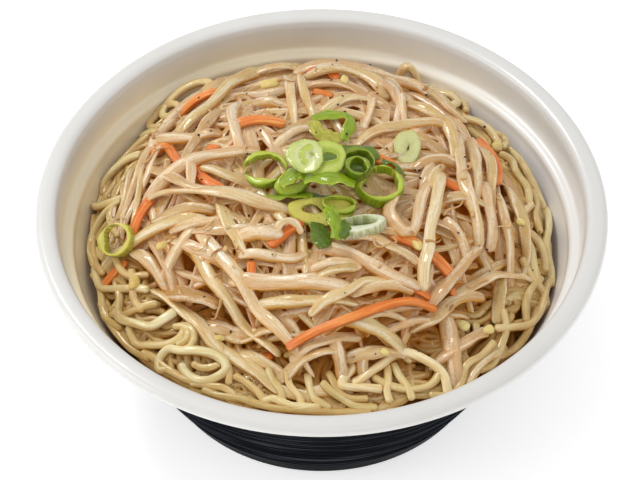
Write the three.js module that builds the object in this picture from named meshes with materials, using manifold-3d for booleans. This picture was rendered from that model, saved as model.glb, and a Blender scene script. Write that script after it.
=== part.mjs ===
// A bowl of shoyu ramen noodles under stir-fried bean sprouts, carrot strips and scallion rings.
// Millimetres, +Z up, origin at the middle of the foot's flat face on the ground.
import * as THREE from "three";
import { mergeVertices } from "three/addons/utils/BufferGeometryUtils.js";
import Module from "manifold-3d";

const wasm = await Module();
wasm.setup();

// ---- driving dimensions ----
const RIM_RADIUS = 95;
const BOWL_HEIGHT = 72;
const WALL = 1.2;
const FOOT_RADIUS = 56.6;
const FOOT_WIDTH = 4.6;
const FOOT_LIFT = 1.4; // how far the base stands off the ground inside the foot ring
const RIM_LIP_DEPTH = 3.2;
const FLANGE_INNER_RADIUS = 89.4;
const UPPER_WALL_RADIUS = 87.3; // near-upright wall that takes the lid
const LEDGE_RADIUS = 82.6; // inner edge of the ledge under that wall
const LEDGE_DEPTH = 13; // below the rim
const RING_COUNT = 3; // fine rings moulded round the outside
const RING_PITCH = 5;
const RING_RELIEF = 0.45;
const SECTORS = 36;

const CLEARANCE = 0.3; // between neighbouring pieces
const NOODLE_CENTRE_HEIGHT = 65;
const NOODLE_DROP = 9.5; // from the middle to the bowl's wall
const NOODLE_SLOPE = 0.02; // up towards the back
const SPROUT_CENTRE_DEPTH = 15.5;
const SPROUT_EDGE_DEPTH = 0.8;
const NOODLE_THICKNESS = 3;
const NOODLE_WAVE = 0.8; // unevenness of the surfaces
const SPROUT_WAVE = 1.3;
const SPROUT_THICKNESS = 5;
const SPROUT_LENGTH = 48;
const SPROUT_STRANDS = 15;
const NOODLE_STRANDS = 16;
const CARROT_THICKNESS = 2.8;
const SETTLE_STEP = 0.25; // rise of a scallion slice between tests for touching

// The vegetables reach this far from the middle, every 30 degrees from +X round by +Y.
const SPROUT_REACH = [71, 68, 72, 76, 73, 69, 69, 60, 56, 68, 64, 66];

const LEDGE_HEIGHT = BOWL_HEIGHT - LEDGE_DEPTH;
const FLOOR_HEIGHT = FOOT_LIFT + WALL;

// ---- materials ----
const plastic = new THREE.MeshStandardMaterial({ color: 0xe9e8e3, roughness: 0.35, metalness: 0 });
const noodle = new THREE.MeshStandardMaterial({ color: 0xd9bd7a, roughness: 0.45, metalness: 0 });
const sprout = new THREE.MeshStandardMaterial({ color: 0xdcbf94, roughness: 0.4, metalness: 0 });
const carrot = new THREE.MeshStandardMaterial({ color: 0xe8824a, roughness: 0.4, metalness: 0 });
const scallion = new THREE.MeshStandardMaterial({ color: 0x8fc23c, roughness: 0.35, metalness: 0 });

// ---- small helpers ----

// Repeatable pseudo-random number from 0 to 1 for piece i, property k.
function chance(i, k) {
  const s = Math.sin(i * 127.1 + k * 311.7 + 17.3) * 43758.5453;
  return s - Math.floor(s);
}

// A closed three.js geometry as a manifold solid.
function solidOf(geometry) {
  const bare = geometry.clone();
  bare.deleteAttribute("normal");
  bare.deleteAttribute("uv");
  const merged = mergeVertices(bare, 1e-3);
  return new wasm.Manifold(
    new wasm.Mesh({
      numProp: 3,
      vertProperties: new Float32Array(merged.attributes.position.array),
      triVerts: new Uint32Array(merged.index.array),
    }),
  );
}

// A manifold solid as a three.js geometry.
function geometryOf(solid) {
  const mesh = solid.getMesh();
  const position = new Float32Array(mesh.numVert * 3);
  for (let i = 0; i < mesh.numVert; i++) {
    for (let k = 0; k < 3; k++) position[3 * i + k] = mesh.vertProperties[mesh.numProp * i + k];
  }
  return new THREE.BufferGeometry()
    .setAttribute("position", new THREE.BufferAttribute(position, 3))
    .setIndex(new THREE.BufferAttribute(new Uint32Array(mesh.triVerts), 1));
}

// The largest body of a solid, with any pocket closed inside it filled.
function outerBody(solid) {
  return solid.decompose().reduce((a, b) => (b.volume() > a.volume() ? b : a));
}

// A profile of [radius, height] pairs turned about the Z axis.
function turned(profile, sectors = SECTORS) {
  const points = profile.map(([r, z]) => new THREE.Vector2(r, z));
  return new THREE.LatheGeometry(points, sectors).rotateX(Math.PI / 2);
}

// A closed square-cut sweep along a curve: its section has the given width and height, scaled by
// taper(t), stands square to the curve and is level across it. grow adds to every side.
function swept(curve, { width, height, steps, taper = () => 1, grow = 0 }) {
  const position = [];
  const index = [];
  const up = new THREE.Vector3(0, 0, 1);
  const corners = [[1, 1], [-1, 1], [-1, -1], [1, -1]];
  const sides = corners.length;
  for (let i = 0; i <= steps; i++) {
    const t = i / steps;
    const centre = curve.getPoint(t);
    const along = curve.getTangent(t);
    const across = new THREE.Vector3().crossVectors(along, up).normalize();
    const rise = new THREE.Vector3().crossVectors(across, along);
    const end = (i === steps) - (i === 0);
    centre.addScaledVector(along, end * grow);
    for (const [side, level] of corners) {
      const p = centre
        .clone()
        .addScaledVector(across, side * ((width / 2) * taper(t) + grow))
        .addScaledVector(rise, level * ((height / 2) * taper(t) + grow));
      position.push(p.x, p.y, p.z);
    }
  }
  for (let i = 0; i < steps; i++) {
    for (let j = 0; j < sides; j++) {
      const a = i * sides + j;
      const b = i * sides + ((j + 1) % sides);
      index.push(a, a + sides, b, b, a + sides, b + sides);
    }
  }
  const last = steps * sides;
  for (let j = 1; j < sides - 1; j++) {
    index.push(0, j, j + 1, last, last + j + 1, last + j);
  }
  return new THREE.BufferGeometry()
    .setAttribute("position", new THREE.BufferAttribute(new Float32Array(position), 3))
    .setIndex(index);
}

// ---- the bowl ----

// Radius of the bowl's outer cone at a height, from the foot to the ledge.
function outerConeRadius(z) {
  const share = z / (LEDGE_HEIGHT - 3);
  return FOOT_RADIUS + (LEDGE_RADIUS + WALL - FOOT_RADIUS) * Math.pow(share, 1.03);
}

// Inside profile from the floor's middle up the cone, moved inwards by inset.
function coneProfile(inset = 0) {
  const cone = (z) => outerConeRadius(z) - WALL - inset;
  const floor = FLOOR_HEIGHT + inset;
  return [
    [0, floor],
    [cone(floor) - 5, floor],
    [cone(floor + 1.4) - 1.4, floor + 1.1],
    [cone(floor + 4.5), floor + 4.5],
    [cone(30), 30],
    [cone(LEDGE_HEIGHT - 3.4), LEDGE_HEIGHT - 3.4],
  ];
}

function bowlProfile() {
  const ledge = [
    [LEDGE_RADIUS + 0.3, LEDGE_HEIGHT - 1.2],
    [LEDGE_RADIUS + 1.4, LEDGE_HEIGHT - 0.3],
    [UPPER_WALL_RADIUS - 1.2, LEDGE_HEIGHT],
    [UPPER_WALL_RADIUS - 0.5, LEDGE_HEIGHT + 0.9],
    [UPPER_WALL_RADIUS, BOWL_HEIGHT - 3],
  ];
  const flange = [
    [UPPER_WALL_RADIUS + 0.8, BOWL_HEIGHT - 0.9],
    [FLANGE_INNER_RADIUS, BOWL_HEIGHT - 0.15],
    [FLANGE_INNER_RADIUS + 1.6, BOWL_HEIGHT],
    [RIM_RADIUS - 1.7, BOWL_HEIGHT - 0.1],
    [RIM_RADIUS - 0.5, BOWL_HEIGHT - 0.9],
    [RIM_RADIUS, BOWL_HEIGHT - 2],
    [RIM_RADIUS, BOWL_HEIGHT - RIM_LIP_DEPTH],
    [RIM_RADIUS - 0.9, BOWL_HEIGHT - RIM_LIP_DEPTH],
    [RIM_RADIUS - 1.2, BOWL_HEIGHT - 1.7],
    [RIM_RADIUS - 2.2, BOWL_HEIGHT - 1.2],
    [FLANGE_INNER_RADIUS + 0.6, BOWL_HEIGHT - 1.3],
    [UPPER_WALL_RADIUS + WALL + 0.3, BOWL_HEIGHT - 2.6],
  ];
  const outside = [
    [UPPER_WALL_RADIUS + WALL - 0.5, LEDGE_HEIGHT + 0.4],
    [UPPER_WALL_RADIUS + WALL - 1.2, LEDGE_HEIGHT - 0.8],
    [LEDGE_RADIUS + WALL + 1, LEDGE_HEIGHT - 1.4],
  ];
  const rings = [];
  for (let i = 0; i < RING_COUNT; i++) {
    const z = LEDGE_HEIGHT - 5 - i * RING_PITCH;
    rings.push([outerConeRadius(z), z]);
    rings.push([outerConeRadius(z - 0.7) + RING_RELIEF, z - 0.7]);
    rings.push([outerConeRadius(z - 1.4), z - 1.4]);
  }
  const base = [
    [outerConeRadius(8), 8],
    [FOOT_RADIUS + 1, 2],
    [FOOT_RADIUS, 0],
    [FOOT_RADIUS - FOOT_WIDTH, 0],
    [FOOT_RADIUS - FOOT_WIDTH - 0.8, FOOT_LIFT],
    [0, FOOT_LIFT],
  ];
  return [...coneProfile(), ...ledge, ...flange, ...outside, ...rings, ...base].reverse();
}

// ---- the heap's surfaces ----

// Height of the noodles at a place, uneven by sums of waves.
function noodleTop(x, y) {
  const r = Math.hypot(x, y);
  const waves = Math.sin(x / 7.3 + 1.1) * Math.cos(y / 8.9) + 0.6 * Math.sin((x - y) / 5.1);
  const dome = NOODLE_CENTRE_HEIGHT - NOODLE_DROP * Math.pow(r / 80, 3);
  return dome + NOODLE_SLOPE * y + NOODLE_WAVE * waves;
}

// How far the vegetables reach in a direction, eased between the stated reaches.
function sproutReach(angle) {
  const n = SPROUT_REACH.length;
  const place = ((((angle / (2 * Math.PI)) % 1) + 1) % 1) * n;
  const i = Math.floor(place);
  const ease = (1 - Math.cos(Math.PI * (place - i))) / 2;
  return SPROUT_REACH[i % n] * (1 - ease) + SPROUT_REACH[(i + 1) % n] * ease;
}

// Height of the vegetables' surface: the noodles' height and a dome that thins to the outline.
function sproutTop(x, y) {
  const share = Math.min(Math.hypot(x, y) / sproutReach(Math.atan2(y, x)), 1);
  const dome = SPROUT_CENTRE_DEPTH * Math.pow(1 - Math.pow(share, 3), 0.7);
  const waves = Math.sin(x / 9.1) * Math.sin(y / 7.7 + 0.8) + 0.5 * Math.cos((x + y) / 6.3);
  return noodleTop(x, y) + SPROUT_EDGE_DEPTH + dome + SPROUT_WAVE * waves * (1 - share * share);
}

// A closed polar solid from bottom(x, y) to top(x, y), out to reach(angle).
function polarHeap({ top, bottom, reach, rings, sectors }) {
  const position = [];
  const index = [];
  const layer = (height) => {
    position.push(0, 0, height(0, 0));
    for (let i = 1; i <= rings; i++) {
      for (let j = 0; j < sectors; j++) {
        const a = (2 * Math.PI * j) / sectors;
        const r = (reach(a) * i) / rings;
        const x = r * Math.cos(a);
        const y = r * Math.sin(a);
        position.push(x, y, height(x, y));
      }
    }
  };
  layer(top);
  layer(bottom);
  const under = 1 + rings * sectors;
  const at = (base, i, j) => base + (i === 0 ? 0 : 1 + (i - 1) * sectors + (j % sectors));
  for (let j = 0; j < sectors; j++) {
    for (let i = 0; i < rings; i++) {
      for (const base of [0, under]) {
        const a = at(base, i, j);
        const b = at(base, i + 1, j);
        const c = at(base, i + 1, j + 1);
        const d = at(base, i, j + 1);
        const quad = i === 0 ? [[a, b, c]] : [[a, b, c], [a, c, d]];
        for (const [p, q, s] of quad) index.push(...(base ? [p, s, q] : [p, q, s]));
      }
    }
    const topEdge = [at(0, rings, j), at(0, rings, j + 1)];
    const lowEdge = [at(under, rings, j), at(under, rings, j + 1)];
    index.push(topEdge[0], lowEdge[0], lowEdge[1], topEdge[0], lowEdge[1], topEdge[1]);
  }
  return new THREE.BufferGeometry()
    .setAttribute("position", new THREE.BufferAttribute(new Float32Array(position), 3))
    .setIndex(index);
}

// ---- strands ----

// A curve that lies on a surface: an arc from its middle, of the given length and bow,
// lifted off the surface by lift and arched up by arch at its middle.
function lyingCurve({ x, y, heading, length, bow, lift, arch = 0, surface }) {
  const points = [];
  for (let i = 0; i <= 8; i++) {
    const s = (i / 8 - 0.5) * 2;
    const along = (s * length) / 2;
    const aside = bow * (1 - s * s);
    const px = x + along * Math.cos(heading) - aside * Math.sin(heading);
    const py = y + along * Math.sin(heading) + aside * Math.cos(heading);
    points.push(new THREE.Vector3(px, py, surface(px, py) + lift + arch * (1 - s * s)));
  }
  return new THREE.CatmullRomCurve3(points);
}

// One bean sprout: thick at the head, thinning to its root.
function sproutStrand(i) {
  const count = SPROUT_STRANDS;
  const angle = i * 2.39996;
  const share = Math.sqrt((i + 0.5) / count);
  const r = 0.8 * share * sproutReach(angle);
  const curve = lyingCurve({
    x: r * Math.cos(angle),
    y: r * Math.sin(angle),
    heading: chance(i, 1) * Math.PI,
    length: SPROUT_LENGTH * (0.8 + 0.4 * chance(i, 2)),
    bow: 5 * (chance(i, 3) - 0.5),
    lift: 0.3 * SPROUT_THICKNESS * share * chance(i, 4),
    surface: sproutTop,
  });
  const width = SPROUT_THICKNESS * (0.85 + 0.3 * chance(i, 5));
  const taper = (t) => 1 - 0.65 * Math.pow(t, 2.5) - 0.25 * Math.pow(1 - t, 6);
  return solidOf(swept(curve, { width, height: width, steps: 4, taper }));
}

// One noodle at the bowl's wall: an open loop that lies on the noodles.
function noodleStrand(i, grow) {
  const angle = (2 * Math.PI * (i + 0.5 * chance(i, 6))) / NOODLE_STRANDS;
  const r = sproutReach(angle) + 2 + 7 * chance(i, 7);
  const curve = lyingCurve({
    x: r * Math.cos(angle),
    y: r * Math.sin(angle),
    heading: angle + Math.PI / 2 + 1.1 * (chance(i, 8) - 0.5),
    length: 24 + 10 * chance(i, 9),
    bow: 9 * (chance(i, 10) - 0.5),
    lift: 0.3 * NOODLE_THICKNESS,
    arch: 1.5 * chance(i, 11),
    surface: noodleTop,
  });
  return solidOf(swept(curve, { width: NOODLE_THICKNESS, height: NOODLE_THICKNESS, steps: 4, grow }));
}

// ---- the noodles: a bed that fills the bowl, with loops along its edge ----
function noodleBed(grow = 0) {
  const wall = coneProfile(CLEARANCE);
  const widest = wall[wall.length - 1][0];
  const cavity = solidOf(turned([...wall, [widest, BOWL_HEIGHT], [0, BOWL_HEIGHT]]));
  const bed = solidOf(
    polarHeap({
      top: (x, y) => noodleTop(x, y) + grow,
      bottom: () => 0,
      reach: () => 86,
      rings: 7,
      sectors: SECTORS,
    }),
  );
  const strands = [];
  for (let i = 0; i < NOODLE_STRANDS; i++) strands.push(noodleStrand(i, grow));
  return wasm.Manifold.union([bed, ...strands]).intersect(cavity);
}

// ---- the vegetables: a dome of sprouts on the noodles ----
function sproutPile() {
  const dome = solidOf(
    polarHeap({
      top: sproutTop,
      bottom: (x, y) => noodleTop(x, y) - 3,
      reach: sproutReach,
      rings: 7,
      sectors: 24,
    }),
  );
  const strands = [];
  for (let i = 0; i < SPROUT_STRANDS; i++) strands.push(sproutStrand(i));
  return wasm.Manifold.union([dome, ...strands]);
}

// ---- carrot strips: square-cut sticks that lie in the heap's surface ----
const CARROTS = [
  { name: "carrot_front", from: [-10, -58], to: [34, -46], bow: 4.5, width: 3.8 },
  { name: "carrot_middle", from: [-17, -27], to: [-6, -17], bow: 0, width: 4 },
  { name: "carrot_left_inner", from: [-42, 10], to: [-32, -2], bow: 1, width: 4 },
  { name: "carrot_back_left", from: [-50, 44], to: [-35, 51], bow: 1, width: 3.6 },
  { name: "carrot_back_inner", from: [-29, 27], to: [-13, 28], bow: 1, width: 3.8 },
  { name: "carrot_left_upright", from: [-51, 26], to: [-46, 11], bow: -1, width: 3.4 },
  { name: "carrot_left_short", from: [-58, 25], to: [-51, 28.5], bow: 0, width: 3.4 },
  { name: "carrot_right_edge", from: [50, 27], to: [60, 9], bow: 2, width: 3.4 },
  { name: "carrot_left_edge", from: [-56, 1], to: [-63, -11.5], bow: -1, width: 3.2 },
  { name: "carrot_left_low", from: [-72, -21.5], to: [-64, -17], bow: 0, width: 3.4 },
  { name: "carrot_right_inner", from: [22, -21], to: [42, -32], bow: 1.5, width: 3.8 },
  { name: "carrot_back", from: [-5, 62], to: [6, 55], bow: 1, width: 3.4 },
];

function carrotStrip({ from, to, bow, width }, grow = 0) {
  const dx = to[0] - from[0];
  const dy = to[1] - from[1];
  const curve = lyingCurve({
    x: (from[0] + to[0]) / 2,
    y: (from[1] + to[1]) / 2,
    heading: Math.atan2(dy, dx),
    length: Math.hypot(dx, dy),
    bow,
    lift: 0.25 * CARROT_THICKNESS,
    surface: sproutTop,
  });
  const steps = Math.ceil(Math.hypot(dx, dy) / 16);
  return swept(curve, { width, height: CARROT_THICKNESS, steps, grow });
}

// ---- scallions ----
// Slices of a green onion: rings, thick pale rings nearly closed in the middle, and opened bands.
// size is a ring's outer width and length; tilt is in degrees about X and about Y.
const SCALLIONS = [
  { name: "scallion_back_band", path: [[-3, 30], [8, 31], [10, 26], [7, 17.5]], wall: 1.4, tall: 3 },
  { name: "scallion_right_band", path: [[20.5, 8.5], [24, 6.5], [26.5, 3.5]], wall: 1.3, tall: 2.8 },
  { name: "scallion_white_band", path: [[7, -18], [10.5, -22], [16, -22.5], [21, -19]], wall: 1.5, tall: 3 },
  { name: "scallion_left_leaf", path: [[-16, -4], [-13, -7.4], [-9.4, -7.6]], wall: 1.5, tall: 3 },
  { name: "scallion_dark_leaf", path: [[-2.4, -20.5], [-1.5, -25], [2.5, -28.5]], wall: 1.6, tall: 4 },
  { name: "scallion_bright_leaf", path: [[3, -19.6], [4.8, -23], [6.4, -26.4]], wall: 1.5, tall: 4 },
  { name: "scallion_at_wall", at: [-68, -8], size: [11.5, 11], wall: 1.5, tall: 3.8, tilt: [30, -30] },
  { name: "scallion_pale_slice", at: [28.5, 16], size: [8.5, 14], wall: 3.6, tall: 2, tilt: [12, 14] },
  { name: "scallion_left_ring", at: [-19.6, 7], size: [15, 12.5], wall: 1.5, tall: 3.6, tilt: [8, -6] },
  { name: "scallion_right_ring", at: [19.6, -4], size: [15, 14], wall: 1.6, tall: 3.6, tilt: [8, 8] },
  { name: "scallion_twisted_ring", at: [-10, -1.5], size: [10, 8.5], wall: 1.6, tall: 3.4, tilt: [12, -8] },
  { name: "scallion_outer_ring", at: [12, 8], size: [13, 11.5], wall: 1.3, tall: 3.4, tilt: [6, 6] },
  { name: "scallion_coil", at: [12, 8], size: [7.4, 6.6], wall: 1.1, tall: 3.6, tilt: [6, 6] },
  { name: "scallion_pale_disc", at: [-6, 9], size: [11.5, 10.5], wall: 4.2, tall: 2.8, tilt: [8, -4] },
  { name: "scallion_thick_ring", at: [-2, -13], size: [17, 12.5], wall: 5, tall: 2.6, tilt: [10, 0] },
  { name: "scallion_middle_ring", at: [4.6, -5], size: [11.5, 8], wall: 1.4, tall: 3.4, tilt: [12, 4] },
  { name: "scallion_top_ring", at: [3, 8.6], size: [12, 11], wall: 3.9, tall: 3.2, tilt: [10, 2] },
];

// A ring about its own middle.
function scallionRing({ size, wall, tall, tilt }, grow = 0) {
  const [width, length] = size;
  const inner = 1 - (2 * (wall + grow)) / Math.max(width, length);
  const outer = 1 + (2 * grow) / Math.max(width, length);
  const half = tall / 2 + grow;
  const profile = [
    [inner, -half],
    [outer, -half],
    [outer, half],
    [inner, half],
    [inner, -half],
  ];
  return turned(profile, 14)
    .scale(width / 2, length / 2, 1)
    .rotateX(THREE.MathUtils.degToRad(tilt[0]))
    .rotateY(THREE.MathUtils.degToRad(tilt[1]));
}

// An opened band that stands on edge along its path.
function scallionBand({ path, wall, tall }, grow = 0) {
  const points = path.map(([x, y]) => new THREE.Vector3(x, y, sproutTop(x, y)));
  return swept(new THREE.CatmullRomCurve3(points), { width: wall, height: tall, steps: 6, grow });
}

// Lifts each slice until it is clear of the food under it and of the slices before it.
function settledScallions(food) {
  const placed = [...food];
  const meshes = [];
  for (const slice of SCALLIONS) {
    const make = slice.path ? scallionBand : scallionRing;
    const [x, y] = slice.at ?? [0, 0];
    const loose = solidOf(make(slice, CLEARANCE));
    let z = slice.at ? sproutTop(x, y) : 0;
    while (placed.some((p) => p.intersect(loose.translate([x, y, z])).volume() > 0)) {
      z += SETTLE_STEP;
    }
    placed.push(solidOf(make(slice)).translate([x, y, z]));
    const mesh = new THREE.Mesh(make(slice), scallion);
    mesh.name = slice.name;
    mesh.position.set(x, y, z);
    meshes.push(mesh);
  }
  return meshes;
}

// ---- the part ----
function named(name, geometry, material) {
  const mesh = new THREE.Mesh(geometry, material);
  mesh.name = name;
  return mesh;
}

const grooves = CARROTS.map((strip) => solidOf(carrotStrip(strip, CLEARANCE)));
const bed = outerBody(wasm.Manifold.difference([noodleBed(), ...grooves]));
const heap = outerBody(
  wasm.Manifold.difference([sproutPile(), noodleBed(CLEARANCE), ...grooves]),
);
const strips = CARROTS.map((strip) => ({ name: strip.name, geometry: carrotStrip(strip) }));
const food = [bed, heap, ...strips.map(({ geometry }) => solidOf(geometry))];

const part = new THREE.Group();
part.add(named("bowl", turned(bowlProfile()), plastic));
part.add(named("noodles", geometryOf(bed), noodle));
part.add(named("sprout_heap", geometryOf(heap), sprout));
for (const { name, geometry } of strips) part.add(named(name, geometry, carrot));
part.add(...settledScallions(food));

export default part;
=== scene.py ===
"""A bowl of shoyu ramen: noodles under stir-fried bean sprouts, carrot strips and scallion.

Lengths are in millimetres until a mesh is made, and metres after that. The bowl stands on z = 0
with its middle on the origin, +X to the right and -Y to the front.
"""

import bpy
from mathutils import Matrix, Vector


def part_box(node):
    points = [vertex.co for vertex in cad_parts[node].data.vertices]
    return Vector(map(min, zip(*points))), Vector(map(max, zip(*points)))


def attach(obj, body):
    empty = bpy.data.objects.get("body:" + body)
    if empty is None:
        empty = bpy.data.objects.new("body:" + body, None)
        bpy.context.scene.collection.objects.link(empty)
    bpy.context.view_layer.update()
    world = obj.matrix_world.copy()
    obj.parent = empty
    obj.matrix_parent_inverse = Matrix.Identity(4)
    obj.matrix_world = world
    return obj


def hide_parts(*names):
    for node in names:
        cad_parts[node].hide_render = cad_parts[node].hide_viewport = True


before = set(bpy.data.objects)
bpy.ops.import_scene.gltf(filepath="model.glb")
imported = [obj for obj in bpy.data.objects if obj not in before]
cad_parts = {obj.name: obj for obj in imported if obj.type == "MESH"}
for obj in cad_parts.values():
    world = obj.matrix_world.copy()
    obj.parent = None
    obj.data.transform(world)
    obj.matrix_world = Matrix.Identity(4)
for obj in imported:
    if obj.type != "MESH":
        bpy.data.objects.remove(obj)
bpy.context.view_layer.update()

import math

import bpy
import numpy as np

MM = 0.001

# ---- sizes taken from the frame ----
RIM_RADIUS, _, RIM_HEIGHT = np.array(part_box("bowl")[1]) / MM

# ---- sizes of the bowl ----
WALL = 1.2
FOOT_RADIUS = 56.6
FOOT_WIDTH = 4.6
FOOT_LIFT = 1.4
RIM_LIP_DEPTH = 3.2
FLANGE_INNER_RADIUS = 89.4
UPPER_WALL_RADIUS = 87.3
LEDGE_RADIUS = 82.6
LEDGE_HEIGHT = RIM_HEIGHT - 13
OUTSIDE_RIDGES = 19
OUTSIDE_RIDGE = 0.32

# ---- sizes of the food ----
NOODLE_CENTRE_HEIGHT = 65
NOODLE_DROP = 9.5
NOODLE_SLOPE = 0.02
NOODLE_WAVE = 0.8
NOODLE_THICKNESS = 2.6
SPROUT_CENTRE_DEPTH = 15.5
SPROUT_EDGE_DEPTH = 0.8
SPROUT_WAVE = 1.3
SPROUT_REACH = np.array([71, 68, 72, 76, 73, 69, 69, 60, 56, 68, 64, 66.0])
NOODLE_REACH = np.array([76.5, 76, 77, 80, 79.5, 77, 75.8, 75.5, 76.5, 78.5, 78.5, 76.5])
NOODLE_EDGE_DROP = np.array([8, 7, 4.5, 1.5, 3, 6, 9, 6, 2, 0.5, 2, 6.0])
# How fast each kind's free line falls away from what holds it up, by the distance squared.
NOODLE_SAG, SPROUT_SAG, CARROT_SAG, BIT_SAG, ROOT_SAG, LEAF_SAG = 0.02, 0.008, 0.012, 0.02, 0.05, 0.03
# The height of each kind's section as a share of its width.
NOODLE_FLATNESS, SPROUT_FLATNESS, CARROT_FLATNESS, BIT_FLATNESS, ROOT_FLATNESS = 0.9, 0.5, 0.55, 0.5, 0.9
# Where noodles laid by chance turn back: near the wall, and near the middle that sprouts cover.
NOODLE_TURN_OUTSIDE = 68
NOODLE_TURN_INSIDE = 56


# ---- the camera ----
CAMERA_ELEVATION = math.radians(48.3)
CAMERA_DISTANCE = 900
CAMERA_TARGET = np.array([-0.43, 0, 53.7])
CAMERA_LENS = 150.6


def place_camera():
    """The camera looks down on the bowl from the front."""
    camera = bpy.data.objects.new("camera", bpy.data.cameras.new("camera"))
    bpy.context.scene.collection.objects.link(camera)
    back = np.array([0, -math.cos(CAMERA_ELEVATION), math.sin(CAMERA_ELEVATION)])
    camera.location = (CAMERA_TARGET + CAMERA_DISTANCE * back) * MM
    camera.rotation_euler = (math.pi / 2 - CAMERA_ELEVATION, 0, 0)
    camera.data.lens = CAMERA_LENS
    camera.data.sensor_width = 36
    camera.data.clip_end = 10
    bpy.context.scene.camera = camera


place_camera()


# ---- the food's surfaces ----
def noodle_level(x, y):
    """The noodles' height: a shallow dome that falls with the cube of the radius, a slope up to
    the back, and low waves."""
    radius = np.hypot(x, y)
    waves = np.sin(x / 7.3 + 1.1) * np.cos(y / 8.9) + 0.6 * np.sin((x - y) / 5.1)
    dome = NOODLE_CENTRE_HEIGHT - NOODLE_DROP * (radius / 80) ** 3
    return dome + NOODLE_SLOPE * y + NOODLE_WAVE * waves


def eased_reach(reaches, angle):
    """The reach in a direction, cosine-eased between reaches stated for every thirty degrees."""
    place = (angle / (2 * math.pi)) % 1 * len(reaches)
    low = np.floor(place).astype(int)
    ease = (1 - np.cos(math.pi * (place - low))) / 2
    return reaches[low % len(reaches)] * (1 - ease) + reaches[(low + 1) % len(reaches)] * ease


def heap_reach(angle):
    """How far from the middle the sprouts reach."""
    return eased_reach(SPROUT_REACH, angle)


def noodle_reach(angle):
    """How far from the middle the noodles reach."""
    return eased_reach(NOODLE_REACH, angle)


def noodle_top(x, y):
    """The strands' own level: the noodles' height, falling away by a parabola to the wall."""
    out = np.maximum(np.hypot(x, y) - 64, 0) / 13
    return noodle_level(x, y) - eased_reach(NOODLE_EDGE_DROP, np.arctan2(y, x)) * out**2


def heap_share(x, y):
    """Distance from the middle as a share of the heap's reach in that direction."""
    return np.hypot(x, y) / heap_reach(np.arctan2(y, x))


def heap_level(x, y):
    """The sprouts' mean height: the noodles' and a dome that thins to nothing at its reach."""
    share = np.minimum(heap_share(x, y), 1)
    dome = SPROUT_CENTRE_DEPTH * (1 - share**3) ** 0.7
    waves = np.sin(x / 9.1) * np.sin(y / 7.7 + 0.8) + 0.5 * np.cos((x + y) / 6.3)
    return noodle_level(x, y) + SPROUT_EDGE_DEPTH + dome + SPROUT_WAVE * waves * (1 - share**2)


def food_level(x, y):
    """The heap's height inside its reach and the noodles' outside it, eased between the two."""
    share = np.clip((1.06 - heap_share(x, y)) / 0.12, 0, 1)
    return noodle_top(x, y) * (1 - share) + (heap_level(x, y) - 0.6) * share


# ---- meshes from arrays ----
def make_piece(name, points, quads, material, fields=None, tris=None, slots=None):
    """A smooth mesh piece from points in millimetres, quads and triangles of point numbers, and
    named fields of one value or one vector for each point."""
    points = np.asarray(points, dtype=float).reshape(-1, 3) * MM
    quads = np.asarray(quads, dtype=np.int32).reshape(-1, 4)
    tris = np.zeros((0, 3), np.int32) if tris is None else np.asarray(tris, np.int32).reshape(-1, 3)
    corners = np.concatenate([quads.ravel(), tris.ravel()])
    sizes = np.concatenate([np.full(len(quads), 4), np.full(len(tris), 3)])
    mesh = bpy.data.meshes.new(name)
    mesh.vertices.add(len(points))
    mesh.vertices.foreach_set("co", points.ravel())
    mesh.loops.add(len(corners))
    mesh.loops.foreach_set("vertex_index", corners)
    mesh.polygons.add(len(sizes))
    mesh.polygons.foreach_set("loop_start", np.concatenate([[0], np.cumsum(sizes)[:-1]]))
    mesh.polygons.foreach_set("use_smooth", np.ones(len(sizes), dtype=bool))
    if slots is not None:
        mesh.polygons.foreach_set("material_index", np.asarray(slots, np.int32))
    for field, values in (fields or {}).items():
        values = np.asarray(values, dtype=np.float32)
        vector = values.size == 3 * len(points)
        layer = mesh.attributes.new(field, "FLOAT_VECTOR" if vector else "FLOAT", "POINT")
        layer.data.foreach_set("vector" if vector else "value", values.ravel())
    mesh.update(calc_edges=True)
    mesh.validate()
    for each in material if isinstance(material, (list, tuple)) else [material]:
        mesh.materials.append(each)
    piece = bpy.data.objects.new(name, mesh)
    bpy.context.scene.collection.objects.link(piece)
    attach(piece, "root")
    return piece


def grid_quads(rows, columns):
    """Quads of a grid of rows by columns of points, with the last column joined to the first."""
    row, column = np.meshgrid(np.arange(rows - 1), np.arange(columns), indexing="ij")
    here = row * columns + column
    right = row * columns + (column + 1) % columns
    return np.stack([here, right, right + columns, here + columns], axis=-1).reshape(-1, 4)


def pole_fans(rows, columns, base=0, pole=None):
    """Triangles that close the first and the last row of a closed grid, each to a point of its
    own. The grid starts at point base, and its two poles at point pole, or straight after it."""
    ring = np.arange(columns)
    after = (ring + 1) % columns
    last = base + (rows - 1) * columns
    pole = (rows * columns if pole is None else pole) + 0 * ring
    start = np.stack([pole, base + ring, base + after], axis=-1)
    end = np.stack([pole + 1, last + after, last + ring], axis=-1)
    return np.concatenate([start.reshape(-1, 3), end.reshape(-1, 3)])


def unit(vectors):
    """Vectors scaled to a length of one."""
    return vectors / (np.linalg.norm(vectors, axis=-1, keepdims=True) + 1e-9)


def rotated(u, v, angle):
    """Two coordinates turned by an angle, from the first towards the second."""
    return u * np.cos(angle) - v * np.sin(angle), u * np.sin(angle) + v * np.cos(angle)


def superellipse(angle, power):
    """A unit superellipse: the cosine and the sine, each raised to a power with its sign kept."""
    across, upward = np.cos(angle), np.sin(angle)
    return np.sign(across) * np.abs(across) ** power, np.sign(upward) * np.abs(upward) ** power


def leftwards(line):
    """The unit vector to the left of a line at each of its points, seen from above."""
    run = np.gradient(line[:, :2], axis=0)
    return unit(np.column_stack([-run[:, 1], run[:, 0]]))


def frame_along(path):
    """Unit vectors sideways and upwards across a path at each of its points."""
    run = unit(np.gradient(path, axis=-2))
    side = unit(np.cross(run, np.array([0, 0, 1.0])))
    return side, np.cross(side, run)


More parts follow.
